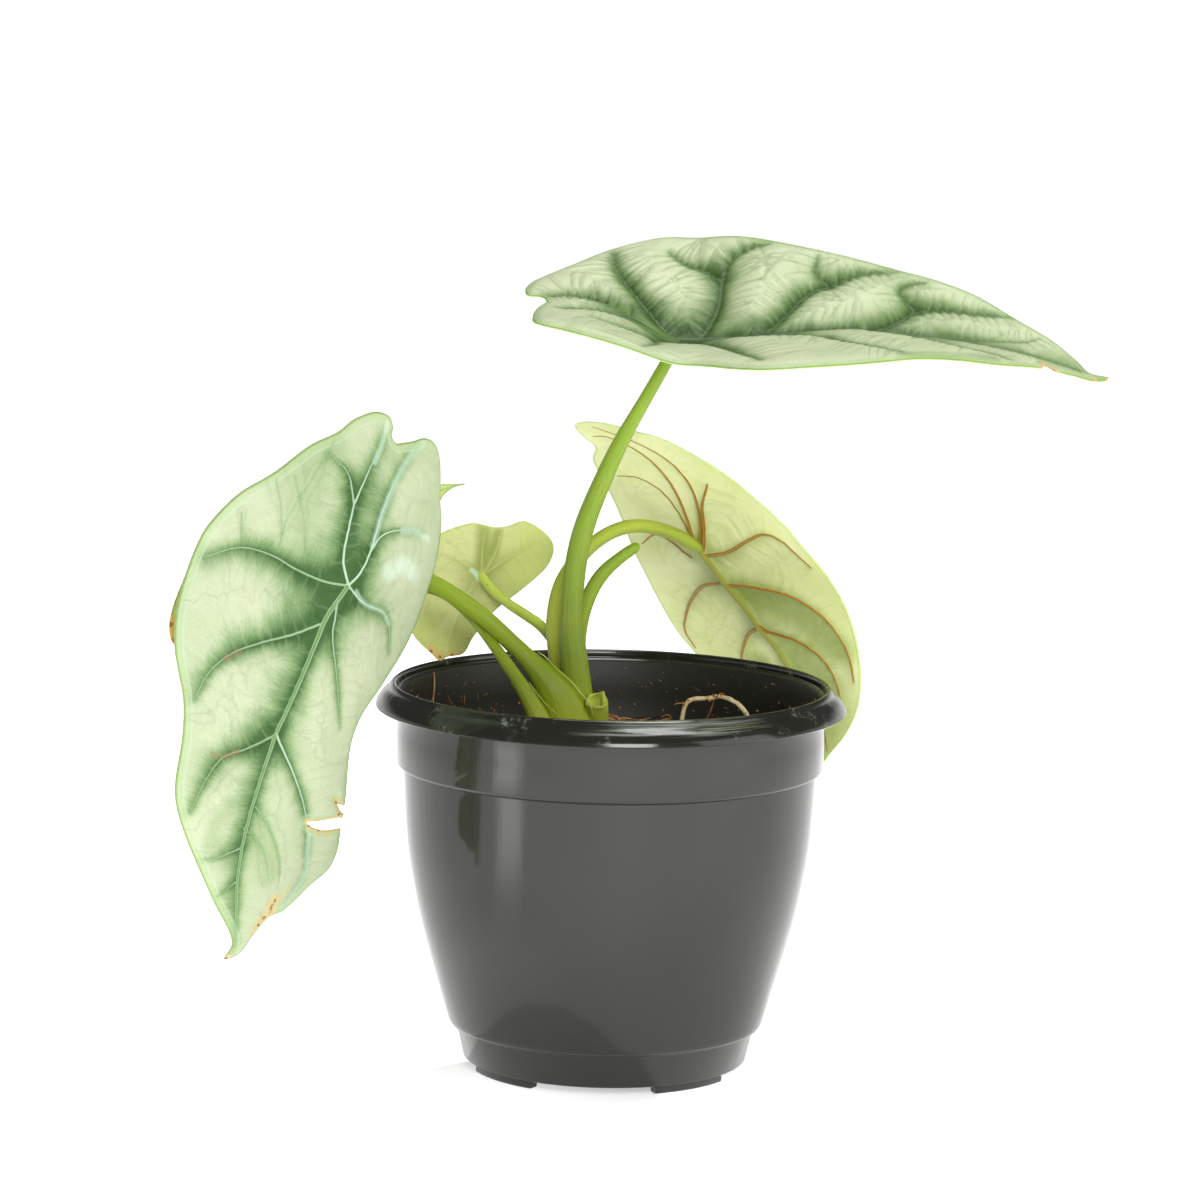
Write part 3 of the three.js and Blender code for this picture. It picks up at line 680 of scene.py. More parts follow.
def stalk_shape(path, sides=24, spread=(), hollow=False):
    """A rod along x, y, z, radius points.

    Spread gives heights and how many times wider than deep the rod is there. A hollow rod
    has a cup in its end.
    """
    line = smooth_line(path, steps=6)
    radii = line[:, 3]
    line = [Vector(place) for place in line[:, :3]]
    shape = bmesh.new()
    lengthwise = shape.verts.layers.float_vector.new("lengthwise")
    turn, ring, edges = first_ring(shape, sides)
    run = 0.0
    for number, place, ahead, sideways, across in stations(line, Vector((1, 0, 0))):
        if number:
            run += (place - line[number - 1]).length
            ring, edges = next_ring(shape, edges)
        wide = np.interp(place.z, *zip(*spread)) if spread else 1.0
        for vert in ring:
            angle = vert[turn]
            radius = radii[number] * (1 + 0.008 * math.sin(7 * angle) + 0.006 * math.sin(11 * angle))
            vert.co = place + (sideways * math.cos(angle) * wide + across * math.sin(angle)) * radius
            vert[lengthwise] = (math.cos(angle), math.sin(angle), run / 10)
    cup_rings = ((0.86, 0.25), (0.74, 0.0), (0.66, -0.8), (0.56, -2.6)) if hollow else ()
    for narrowing, drop in cup_rings:
        ring, edges = next_ring(shape, edges)
        for vert in ring:
            offset = sideways * math.cos(vert[turn]) + across * math.sin(vert[turn])
            vert.co = place + offset * radii[-1] * narrowing + ahead * drop
    bmesh.ops.edgeloop_fill(shape, edges=edges)
    return shape


def add_stalk(name, node, surface, path, **build):
    add_piece(stalk_shape(path, **build), name, surface, "stalk_green", node)


top_stalk_path = [
    (-8, 1, 80, 4.2), (-8.4, 0.6, 95, 4.4), (-9.2, 0, 103, 4.3), (-10.1, -0.6, 111.1, 4.0),
    (-11.1, -1, 122.5, 3.25), (-11.2, -1, 129.8, 3.0), (-10.5, -1, 140.4, 3.0), (-8.4, -1, 151, 2.85),
    (-3.4, -1, 164.5, 2.5), (1.6, -1, 175.6, 2.15), (7.7, -1, 186.8, 1.8), (13.8, 0, 197.9, 1.6),
    (16.5, 0, 203.0, 1.1),
]
left_stalk_path = [
    (-11.5, -5, 80, 4.3), (-11.2, -5, 90, 4.4), (-12, -5, 97, 4.3), (-15.6, -5, 105.9, 4.0),
    (-19.5, -4.5, 110.9, 3.3), (-23, -4, 114.5, 2.7), (-27, -4, 118.3, 2.45), (-34.6, -5.5, 125.5, 2.4),
    (-44.2, -8.5, 132.9, 2.35), (-51, -14, 137.5, 2.3), (-59.3, -25, 142.5, 2.2), (-66.4, -39, 142.5, 1.75),
    (-70.6, -45.2, 141.1, 1.25),
]
right_stalk_path = [
    (-12, 8.5, 80, 3.5), (-12.2, 9, 95, 3.6), (-12.7, 9, 106.8, 3.6), (-14.6, 9, 115.3, 3.35),
    (-15.4, 9, 125.1, 3.0), (-14, 10, 133.5, 2.6), (-10.4, 12, 139.9, 2.2), (-6.1, 15, 144.2, 2.0),
    (-0.6, 20, 147.3, 1.95), (6.9, 29, 147.9, 1.95), (16.4, 39, 144.7, 1.85), (22.4, 43.4, 141, 1.8),
    (25.0, 45.3, 139.5, 1.2),
]
small_stalk_path = [
    (-12.8, 14.5, 80, 1.9), (-12.6, 15.5, 95, 1.9), (-12.8, 17, 108.4, 1.75), (-15.7, 17, 115.4, 1.6),
    (-20, 17, 120.7, 1.5), (-24.3, 17, 123.7, 1.45), (-29.1, 17, 126.8, 1.4), (-33.1, 18, 129.9, 1.4),
    (-36, 19, 133, 1.4), (-37.1, 19.9, 134.7, 1.2),
]
old_stalk_path = [
    (-17.6, -11.5, 79, 3.0), (-17.7, -12, 92, 3.3), (-19, -12, 97.6, 3.1), (-23.7, -10.5, 106.5, 2.2),
    (-29.3, -8, 114.4, 1.7), (-32.9, -5.6, 118.9, 1.5), (-39, -1.6, 125.7, 1.45), (-46, -1.2, 131.6, 1.45),
    (-54.5, -5, 134.7, 1.4), (-63.9, -12, 136, 1.4), (-79.4, -27, 139.7, 1.35), (-90.2, -42, 138.6, 1.3),
    (-93.7, -47.9, 136.4, 1.3),
]
cut_stalk_path = [
    (-9, 5.6, 80, 2.0), (-9.6, 5.6, 110, 2.1), (-8.8, 5.4, 124, 2.1), (-5.9, 5.2, 132.9, 2.0),
    (-2.6, 5.4, 138, 1.9), (1.7, 6, 141.9, 1.65), (4.6, 6.6, 144.0, 1.55), (6.1, 6.9, 145.0, 1.3),
    (6.9, 7.1, 145.5, 0.7),
]

top_green = stalk_surface(
    "top_stalk_green", (0.3, 0.37, 0.02), (0.16, 0.23, 0.008), (0.19, 0.3, 0.02), (96, 116, 175)
)
add_stalk("top_stalk", "top_leaf_stalk", top_green, top_stalk_path, sides=32)

left_green = stalk_surface(
    "left_stalk_green", (0.33, 0.39, 0.018), (0.18, 0.25, 0.005), (0.19, 0.27, 0.01), (95, 112, 135)
)
left_spread = [(80, 1.7), (90, 1.7), (97, 1.6), (104, 1.3), (110, 1.12), (115, 1.0)]
add_stalk("left_stalk", "left_leaf_stalk", left_green, left_stalk_path, sides=32, spread=left_spread)

right_green = stalk_surface(
    "right_stalk_green", (0.42, 0.49, 0.025), (0.44, 0.49, 0.045), (0.35, 0.43, 0.045), (95, 118, 144)
)
add_stalk("right_stalk", "right_leaf_stalk", right_green, right_stalk_path, sides=28)

small_green = stalk_surface(
    "small_stalk_green", (0.32, 0.42, 0.03), (0.4, 0.52, 0.05), (0.5, 0.6, 0.1), (105, 118, 133), 0.8
)
add_stalk("small_stalk", "small_leaf_stalk", small_green, small_stalk_path, sides=20)

add_stalk("old_stalk", "old_leaf_stalk", left_green, old_stalk_path)

stub_green = stalk_surface(
    "stub_green", (0.21, 0.3, 0.015), (0.25, 0.35, 0.025), (0.2, 0.31, 0.015), (110, 128, 146)
)
add_stalk("stub_stalk", "cut_stalk", stub_green, cut_stalk_path)


# Sheath edges
# Where a stalk's base wraps the next one, its thin dry margin shows as a pale line that ends
# above in a small whitish tip.

sheath_edges = bmesh.new()
fibre(sheath_edges, [
    (-20.4, -8.0, 117.3), (-18.4, -8.6, 116.2), (-15.6, -9.0, 113.4), (-11.2, -9.4, 109.6),
    (-8.3, -9.4, 106.2), (-5.8, -9.2, 103.2), (-4.8, -8.8, 99.0),
], 0.2, sides=8)
fibre(sheath_edges, [
    (-22.6, -14.2, 109.9), (-20.6, -14.8, 107.2), (-17.8, -15.2, 104.0), (-14.4, -14.6, 100.6),
    (-12.8, -13.8, 96.0),
], 0.18, sides=8)
sheath_pale = coir_surface("sheath_edge", (0.28, 0.36, 0.03), (0.46, 0.5, 0.13))
add_piece(sheath_edges, "sheath_edges", sheath_pale, "stalk_green")


# Cut leaf base
# What is left of a leaf that was cut off low on the right: a short hollow sleeve that leans
# to the front, with a torn, paler lip.

cut_base_path = [
    (-3.6, -2, 80, 3.0), (-3.6, -2, 93, 3.1), (-3.7, -2.8, 98, 3.1), (-3.9, -4.4, 101.6, 3.2),
    (-4.1, -6.2, 104.0, 3.1),
]
base_green = stalk_surface(
    "cut_base_green", (0.3, 0.36, 0.02), (0.36, 0.44, 0.03), (0.44, 0.5, 0.07), (92, 98, 103)
)
cut_base = stalk_shape(cut_base_path, sides=32, hollow=True)
tear_foot = 99
tear_depth = 1.5
noise.seed_set(3)
for vert in cut_base.verts:
    torn = max(0.0, vert.co.z - tear_foot) / 6
    vert.co += noise.noise_vector(vert.co * 0.3) * tear_depth * torn
add_piece(cut_base, "cut_base", base_green, "stalk_green", "cut_leaf_base")


# Leaf blades
# Thick, stiff heart-shaped blades. Above they are silvery green, sunk and dark along the
# veins, and quilted between them. Below they are pale green with raised red-brown veins.
# Each is drawn flat first: u runs along the midrib from stalk to tip, v across it.

blade_thickness = 0.85
margin_thickness = 0.35
cell = 0.75
dense_reach = 1.3
quilt_reach = 3.5

# A level blade without marks. Each leaf below says where it differs.
plain_leaf = {
    "arch": 0,
    "lift": 0,
    "droop": 0,
    "fold": 0,
    "fold_back": 0,
    "roll_back": 0,
    "curl": 0,
    "near_calm": 0,
    "rib_height": 1,
    "fine_step": 1,
    "fine_reach": 12,
    "tears": [],
    "burns": [],
    "shades": [],
    "sheens_and_tints": [],
    "rusts": [],
}


def vein(points, half_width, left_band, right_band, strength=1.0, shine=0.5):
    """A main vein from its root outwards, with the width of the dark band on either side."""
    return {
        "path": smooth_line(points),
        "half_width": half_width,
        "left": left_band,
        "right": right_band,
        "strength": strength,
        "shine": shine,
    }


def nearest(points, line):
    """Distance to a line, length along it, signed offset to its left, and the nearest place.

    Past its ends a line is taken as running straight on for the length and the offset.
    """
    step = np.diff(line, axis=0)
    length = np.hypot(*step.T)
    start_length = np.concatenate([[0], np.cumsum(length)[:-1]])
    results = []
    for block in np.array_split(points, len(points) // 4000 + 1):
        offset = block[:, None] - line[None, :-1]
        free = (offset * step).sum(2) / length**2
        foot = line[:-1] + step * np.clip(free, 0, 1)[..., None]
        gap = np.linalg.norm(block[:, None] - foot, axis=2)
        best = gap.argmin(1)
        row = np.arange(len(block))
        first = np.where(best == 0, -99, 0)
        last = np.where(best == len(step) - 1, 99, 1)
        share = np.clip(free[row, best], first, last)
        side = step[best, 0] * offset[row, best, 1] - step[best, 1] * offset[row, best, 0]
        travel = start_length[best] + share * length[best]
        results.append(np.column_stack([gap[row, best], travel, side / length[best], foot[row, best]]))
    found = np.vstack(results)
    return found[:, 0], found[:, 1], found[:, 2], found[:, 3:]


def inside(points, loop):
    """Whether each point lies inside a closed loop."""
    x, y = points.T
    within = np.zeros(len(points), bool)
    for (ax, ay), (bx, by) in zip(loop, np.roll(loop, -1, axis=0)):
        if ay != by:
            within ^= ((ay > y) != (by > y)) & (x < (bx - ax) * (y - ay) / (by - ay) + ax)
    return within


def length_of(line):
    return np.hypot(*np.diff(line, axis=0).T).sum()


def nearest_of(points, lines):
    """Distance to the nearest of several lines, and the nearest place on it."""
    gap = np.full(len(points), 1e9)
    place = points.copy()
    for line in lines:
        found, _, _, foot = nearest(points, line)
        closer = found < gap
        gap[closer] = found[closer]
        place[closer] = foot[closer]
    return gap, place


def closed(loop):
    return np.vstack([loop, loop[:1]])


def margin_gap(leaf, points):
    """Distance to the nearest edge of the blade, its tears included, and the place on it."""
    return nearest_of(points, [closed(loop) for loop in (leaf["edge"], *leaf["tears"])])


def main_gap(leaf, points):
    """Distance to the nearest main vein and the place on it."""
    return nearest_of(points, [entry["path"] for entry in leaf["veins"]])


def on_blade(leaf, points):
    kept = inside(points, leaf["edge"])
    for tear in leaf["tears"]:
        kept &= ~inside(points, tear)
    return kept


fine_stride = 1.1


def turned_left(heading):
    return np.array([-heading[1], heading[0]])


def fine_veins(leaf, seed):
    """Thin cross veins that leave each main vein on both sides and end half way to the next."""
    dice = random.Random(seed)
    found = []
    for number, entry in enumerate(leaf["veins"]):
        path = entry["path"]
        travelled = np.concatenate([[0], np.cumsum(np.hypot(*np.diff(path, axis=0).T))])
        at = dice.uniform(2, 4)
        while at < travelled[-1] - 0.5:
            place = int(np.searchsorted(travelled, at))
            ahead = path[place] - path[place - 1]
            ahead = ahead / np.hypot(*ahead)
            for side in (1, -1):
                heading = turned_left(ahead) * side + ahead * dice.uniform(0.26, 0.4)
                heading /= np.hypot(*heading)
                line = [path[place] + heading * 0.4]
                drift = dice.uniform(-0.02, 0.05) * side
                for _ in range(leaf["fine_reach"]):
                    bend = drift + dice.uniform(-0.06, 0.06)
                    heading = heading + turned_left(heading) * bend
                    heading /= np.hypot(*heading)
                    line.append(line[-1] + heading * fine_stride)
                line = np.array(line)
                gaps = [nearest(line, other["path"])[0] for other in leaf["veins"]]
                kept = np.array(gaps).argmin(0) == number
                kept &= on_blade(leaf, line) & (margin_gap(leaf, line)[0] > 1.0)
                kept[0] = True
                count = len(line) if kept.all() else int(kept.argmin())
                if count > 3:
                    found.append(line[:count])
            at += dice.uniform(2.6, 5.0) * leaf["fine_step"]
    return found


def fine_gap(leaf, points):
    """Distance to the nearest cross vein, the place on it, and the distance in half widths.

    Cross veins further than 3 mm off are left out.
    """
    gap = np.full(len(points), 3.0)
    ratio = np.full(len(points), 9.0)
    place = points.copy()
    for line in leaf["fine"]:
        low = line.min(0) - 3
        high = line.max(0) + 3
        close = np.flatnonzero(((points > low) & (points < high)).all(1))
        if len(close):
            found, travel, _, foot = nearest(points[close], line)
            share = np.clip(travel / (fine_stride * (len(line) - 1)), 0, 1)
            closer = found < gap[close]
            gap[close[closer]] = found[closer]
            place[close[closer]] = foot[closer]
            thinned = found / (0.5 - 0.25 * share) + 1.2 * np.maximum(0, share - 0.6)
            ratio[close] = np.minimum(ratio[close], thinned)
    return gap, place, ratio


def vert_places(shape):
    return np.array([vert.co.xy for vert in shape.verts])


def face_places(shape):
    return np.array([face.calc_center_median().xy for face in shape.faces])


def drop_faces(shape, unwanted):
    faces = shape.faces[:]
    bmesh.ops.delete(shape, geom=[faces[i] for i in np.flatnonzero(unwanted)], context="FACES")


def cut_blade(leaf):
    """A flat sheet of small faces trimmed to the blade, with edges along veins and margin."""
    low = leaf["edge"].min(0) - cell
    count = np.ceil((leaf["edge"].max(0) + cell - low) / cell).astype(int)
    span = count * cell
    sheet = bmesh.new()
    bmesh.ops.create_grid(sheet, x_segments=int(count[0]), y_segments=int(count[1]), size=0.5)
    bmesh.ops.scale(sheet, vec=(span[0], span[1], 1), verts=sheet.verts)
    bmesh.ops.translate(sheet, vec=(*(low + span / 2), 0), verts=sheet.verts)
    places = face_places(sheet)
    drop_faces(sheet, ~on_blade(leaf, places) & (margin_gap(leaf, places)[0] > 2 * cell))

    places = vert_places(sheet)
    fine = np.minimum(main_gap(leaf, places)[0], margin_gap(leaf, places)[0]) < dense_reach
    sheet.verts.ensure_lookup_table()
    split = [e for e in sheet.edges if all(fine[vert.index] for vert in e.verts)]
    bmesh.ops.subdivide_edges(sheet, edges=split, cuts=1, use_grid_fill=True)
    drop_faces(sheet, ~on_blade(leaf, face_places(sheet)))

    places = vert_places(sheet)
    to_margin, margin_place = margin_gap(leaf, places)
    to_main, main_place = main_gap(leaf, places)
    to_fine, fine_place, _ = fine_gap(leaf, places)
    boundary = np.array([vert.is_boundary for vert in sheet.verts])
    small = np.minimum(to_main, to_margin) < dense_reach
    snap_fine = ~boundary & (to_fine < np.where(small, cell / 4, cell / 2))
    snap_main = ~boundary & (to_main < cell / 4 + 0.02)
    places[snap_fine] = fine_place[snap_fine]
    places[snap_main] = main_place[snap_main]
    places[boundary] = margin_place[boundary]
    for vert, place in zip(sheet.verts, places):
        vert.co = (place[0], place[1], 0)
    bmesh.ops.remove_doubles(sheet, verts=sheet.verts[:], dist=0.04)
    bmesh.ops.triangulate(sheet, faces=sheet.faces[:])
    thick = bmesh.ops.extrude_face_region(sheet, geom=sheet.faces[:], use_keep_orig=True)
    bmesh.ops.translate(sheet, vec=(0, 0, 1), verts=new_verts(thick))
    return sheet


def blade_height(leaf, u, v):
    """Height of the bent blade above its leaf plane, as on the CAD blade."""
    round_off = 0.04
    lobe_end = -45
    fold_start = 20
    t = u / leaf["length"]
    ahead = (t + np.hypot(t, round_off)) / 2
    behind = t - ahead
    ramp = np.clip((u - lobe_end) / (fold_start - lobe_end), 0, 1)
    front = ramp * ramp * (3 - 2 * ramp)
    fold = leaf["fold"] * front + leaf["fold_back"] * (1 - front)
    return (
        leaf["arch"] * 4 * ahead * (1 - ahead)
        + leaf["droop"] * behind**2
        + leaf["lift"] * (1 - np.exp(behind * leaf["length"] / 15))
        + fold * (np.hypot(v, 6) - 6)
        + leaf["curl"] * v * v / 100
        + leaf["roll_back"] * v * (1 - front)
    )


def vein_marks(leaf, flat):
    """What the veins do to the blade at each flat place: colour bands, lines and relief."""
    ground = np.ones(len(flat))
    pillow = np.ones(len(flat))
    line = np.full(len(flat), 9.0)
    shine = np.zeros(len(flat))
    rib = np.zeros(len(flat))
    brown = np.zeros(len(flat))
    strongest = np.zeros(len(flat))
    grain = np.zeros((len(flat), 3))
    for number, entry in enumerate(leaf["veins"]):
        gap, travel, side, _ = nearest(flat, entry["path"])
        progress = np.clip(travel / length_of(entry["path"]), 0, 1)
        lean = 0.5 + 0.5 * side / np.hypot(side, 0.7)
        reach = (entry["right"] + (entry["left"] - entry["right"]) * lean) * (1 - 0.4 * progress)
        reach *= 0.85 + 0.13 * np.sin(travel * 0.43 + 2 * number) + 0.08 * np.sin(travel * 1.1 + number)
        fade = entry["strength"] * (1 - 0.5 * progress**2)
        band = fade * np.exp(-((gap / reach) ** 1.1))
        ground *= 1 - band
        sunk = np.minimum(0.97, entry["strength"]) * (1 - 0.6 * progress)
        pillow *= 1 - sunk * np.exp(-gap / quilt_reach)
        half_width = entry["half_width"] * (1 - 0.55 * progress)
        ratio = gap / half_width
        closer = ratio < line
        line[closer] = ratio[closer]
        shine[closer] = entry["shine"] * (1 - 0.4 * progress[closer])
        brown[closer] = float(number > 0)
        rib = np.maximum(rib, half_width * 1.25 * np.exp(-((gap / (half_width * 1.3)) ** 2)))
        stronger = band > strongest
        strongest[stronger] = band[stronger]
        grain[stronger] = np.column_stack([travel, side, np.full(len(flat), number * 7.0)])[stronger]
    return {
        "band": 1 - ground,
        "pillow": pillow,
        "line": line,
        "shine": shine,
        "brown": brown,
        "rib": rib,
        "grain": grain,
    }


def patches(leaf, kind, flat):
    """How deep each place lies in the leaf's round patches of one kind: 1 at a patch's middle."""
    depth = np.zeros(len(flat))
    for u, v, radius in leaf[kind]:
        depth = np.maximum(depth, 1 - np.hypot(flat[:, 0] - u, flat[:, 1] - v) / radius)
    return depth


def washes(leaf, kind, flat):
    """The same for the leaf's long patches, each given as a line of points and a radius."""
    depth = np.zeros(len(flat))
    for points, radius in leaf[kind]:
        line = smooth_line(points)
        gap, travel, _, _ = nearest(flat, line)
        beyond = np.maximum(0, np.maximum(-travel, travel - length_of(line)))
        depth = np.maximum(depth, 1 - np.hypot(gap, beyond) / radius)
    return depth


def add_blade(leaf, name, surface, slot, node, seed):
    """Cuts, bends and marks one blade, and puts it on the plant. Seed is for its fine veins."""
    leaf["edge"] = smooth_line(leaf["outline"], closed=True)
    leaf["tears"] = [np.array(tear, float) for tear in leaf["tears"]]
    leaf["fine"] = fine_veins(leaf, seed)
    junction = Vector(leaf["junction"])
    along = Vector(leaf["tip"]) - junction
    leaf["length"] = along.length
    along.normalize()
    across = Vector(leaf["across"])
    across = (across - along * across.dot(along)).normalized()
    up = along.cross(across)

    blade = add_piece(cut_blade(leaf), name, surface, slot, node)
    mesh = blade.data
    count = len(mesh.vertices)
    flat = np.empty(count * 3, np.float32)
    mesh.vertices.foreach_get("co", flat)
    flat = flat.reshape(-1, 3).astype(float) @ np.array(to_frame.inverted().to_3x3()).T
    flat += np.array(to_frame.inverted().translation)
    top = flat[:, 2] > 0.5
    flat = flat[:, :2]

    marks = vein_marks(leaf, flat)
    margin = margin_gap(leaf, flat)[0]
    fine = fine_gap(leaf, flat)[2]
    calm = 1 - np.exp(-margin / quilt_reach)
    height = blade_height(leaf, flat[:, 0], flat[:, 1])
    height += leaf["quilt"] * (marks["pillow"] - 0.6) * calm
    near_half = np.clip(0.5 - flat[:, 1] / 4, 0, 1) * leaf["near_calm"]
    height -= leaf["ripple"] * (1 - near_half) * np.exp(-fine / 2.2) * calm
    thickness = margin_thickness + (blade_thickness - margin_thickness) * (1 - np.exp(-margin / 1.5))
    rib = marks.pop("rib") * calm * leaf["rib_height"]
    height += np.where(top, thickness / 2, -thickness / 2 - rib)
    basis = np.array([along, across, up])
    solid = np.column_stack([flat, height]) @ basis + np.array(junction)
    solid = solid @ np.array(to_frame.to_3x3()).T + np.array(to_frame.translation)
    mesh.vertices.foreach_set("co", solid.astype(np.float32).ravel())
    mesh.update()

    burn = patches(leaf, "burns", flat)
    for tear in leaf["tears"]:
        burn = np.maximum(burn, 0.62 - nearest(flat, closed(tear))[0] / 2.2)
    grain = mesh.attributes.new("grain", "FLOAT_VECTOR", "POINT")
    grain.data.foreach_set("vector", marks.pop("grain").astype(np.float32).ravel())
    marks |= {
        "margin": margin,
        "fine": fine,
        "burn": burn,
        "shade": washes(leaf, "shades", flat),
        "sheen_and_tint": washes(leaf, "sheens_and_tints", flat),
        "rust": washes(leaf, "rusts", flat),
        "underside": np.where(top, 0.0, 1.0),
    }
    for mark_name, value in marks.items():
        layer = mesh.attributes.new(mark_name, "FLOAT", "POINT")
        layer.data.foreach_set("value", value.astype(np.float32))


def leaf_surface(name, above, below):
    """The two faces of a blade. Above and below are the named colours of each face."""
    surface = Surface(name)
    place = surface.place()
    grain = surface.mark_vector("grain")
    band, line, shine, margin, fine, pillow = map(
        surface.mark, ("band", "line", "shine", "margin", "fine", "pillow")
    )
    streak = surface.noise(grain.stretched((2.2, 0.2, 1.0)), 1.0, 4.0, 0.7)
    feather = surface.noise(grain.stretched((5.0, 0.5, 1.0)), 1.0, 3.0, 0.65)
    cloud = surface.noise(place, 55.0, 3.0, 0.55)
    grit = surface.noise(place, 1100.0, 3.0, 0.7)
    skin = surface.noise(place, 1500.0, 2.0, 0.6)
    shade = (surface.mark("shade") + (streak - 0.5) * 0.4).between(0.0, 0.9)
    # Painted sheen: on the left leaf these marks lay pale mint streaks where light catches the face, partly
    # its own silver bloom; on the other leaves they tint the leaf's own colour.
    sheen_and_tint = (surface.mark("sheen_and_tint") + (feather - 0.5) * 0.4).between(0.1, 0.9)
    rust = (surface.mark("rust") + (grit - 0.5) * 1.6).between(0.3, 0.8)

    ragged = band + (streak - 0.5) * 0.42 * band.between(0.02, 0.3) + (feather - 0.5) * 0.18
    ragged = ragged + (grit - 0.5) * 0.16
    soft_edge = ragged.between(0.06, 0.5)
    deep_edge = ragged.between(0.32, 0.86)
    # Painted shade: the leaf is darkened from each pillow's top towards the sunk veins, as shade in the
    # hollows would fall, over some of the leaf's own darker green there.
    valley_shade_and_tint = pillow + (streak - 0.5) * 0.25 + (grit - 0.5) * 0.3
    hairline = feather.between(0.45, 0.72) * 0.16 + grit.between(0.5, 0.7) * 0.08
    thread = feather.between(0.55, 0.75) * 0.12 + fine.between(1.3, 0.3) * 0.14
    hem_line = margin.between(1.5, 1.85) * margin.between(2.4, 2.0) * 0.35
    crease = line.between(2.4, 1.0) * 0.5
    vein_core = line.between(1.15, 0.6) * (0.55 + 0.4 * shine) * above["vein_strength"]
    vein_rim = line.between(0.55, 0.8) * line.between(1.25, 1.0) * above["vein_strength"] * 0.45
    upper = surface.layered(
        above["ground"],
        (cloud.between(0.35, 0.65), above["ground_warm"]),
        (valley_shade_and_tint.between(0.95, 0.35) * above["valley_shade_and_tint_strength"], above["valley_shade_and_tint"]),
        (shade * 0.8, above["valley_shade_and_tint"]),
        (hairline, above["soft_band"]),
        (fine.between(1.4, 0.2) * above["fine_strength"], above["valley_shade_and_tint"]),
        (soft_edge, above["soft_band"]),
        (deep_edge, above["deep_band"]),
        (thread * soft_edge, above["valley_shade_and_tint"]),
        (sheen_and_tint * 0.42, above["sheen_and_tint"]),
        (margin.between(2.3, 1.2) * 0.45, above["margin"]),
        (hem_line, above["vein"]),
        (margin.between(0.6, 0.15) * 0.85, above["edge"]),
        (crease * band, above["deep_band"]),
        (vein_core, surface.mix(shine.between(0.1, 0.9), above["vein_green"], above["vein"])),
        (vein_rim, above["vein"]),
    )

    rib_edge = line.between(0.3, 0.7) * line.between(1.7, 1.25) * surface.mark("brown")
    lower = surface.layered(
        below["ground"],
        (cloud.between(0.35, 0.65), below["ground_warm"]),
        (band.between(0.1, 0.9) * below["shadow_strength"], below["shadow"]),
        (shade * below["shadow_strength"], below["shadow"]),
        (sheen_and_tint * 0.75, below["sheen_and_tint"]),
        (fine.between(1.2, 0.3) * below["fine_strength"], below["shadow"]),
        (margin.between(1.1, 0.3) * 0.5, below["edge"]),
        (line.between(1.5, 1.0) * below["rib_strength"], below["rib"]),
        (rib_edge * below["brown_strength"], below["vein_brown"]),
    )

    ragged_burn = surface.mark("burn") + (surface.noise(place, 900.0, 4.0, 0.7) - 0.5) * 0.7
    face = surface.layered(
        upper,
        (surface.mark("underside"), lower),
        (rust * 0.45, (0.22, 0.13, 0.07)),
        (ragged_burn.between(0.2, 0.32) * 0.85, above["dry"]),
        (ragged_burn.between(0.72, 0.86), above["dead"]),
    )
    surface.coat(
        Base_Color=face,
        Roughness=0.42 + 0.12 * cloud - 0.06 * line.between(1.2, 0.4),
        Specular_IOR_Level=0.28,
        Subsurface_Weight=0.08,
        Subsurface_Radius=(0.6, 1.0, 0.25),
        Subsurface_Scale=0.0015,
        Normal=surface.bump(skin * 0.5 + feather * 0.35 + streak * 0.35, 0.00022),
    )
    return surface


# Left leaf
# The big leaf that hangs down at the front left, with its upper face to the viewer. Its right
# margin is torn, and its tip and lower right margin have dried brown.

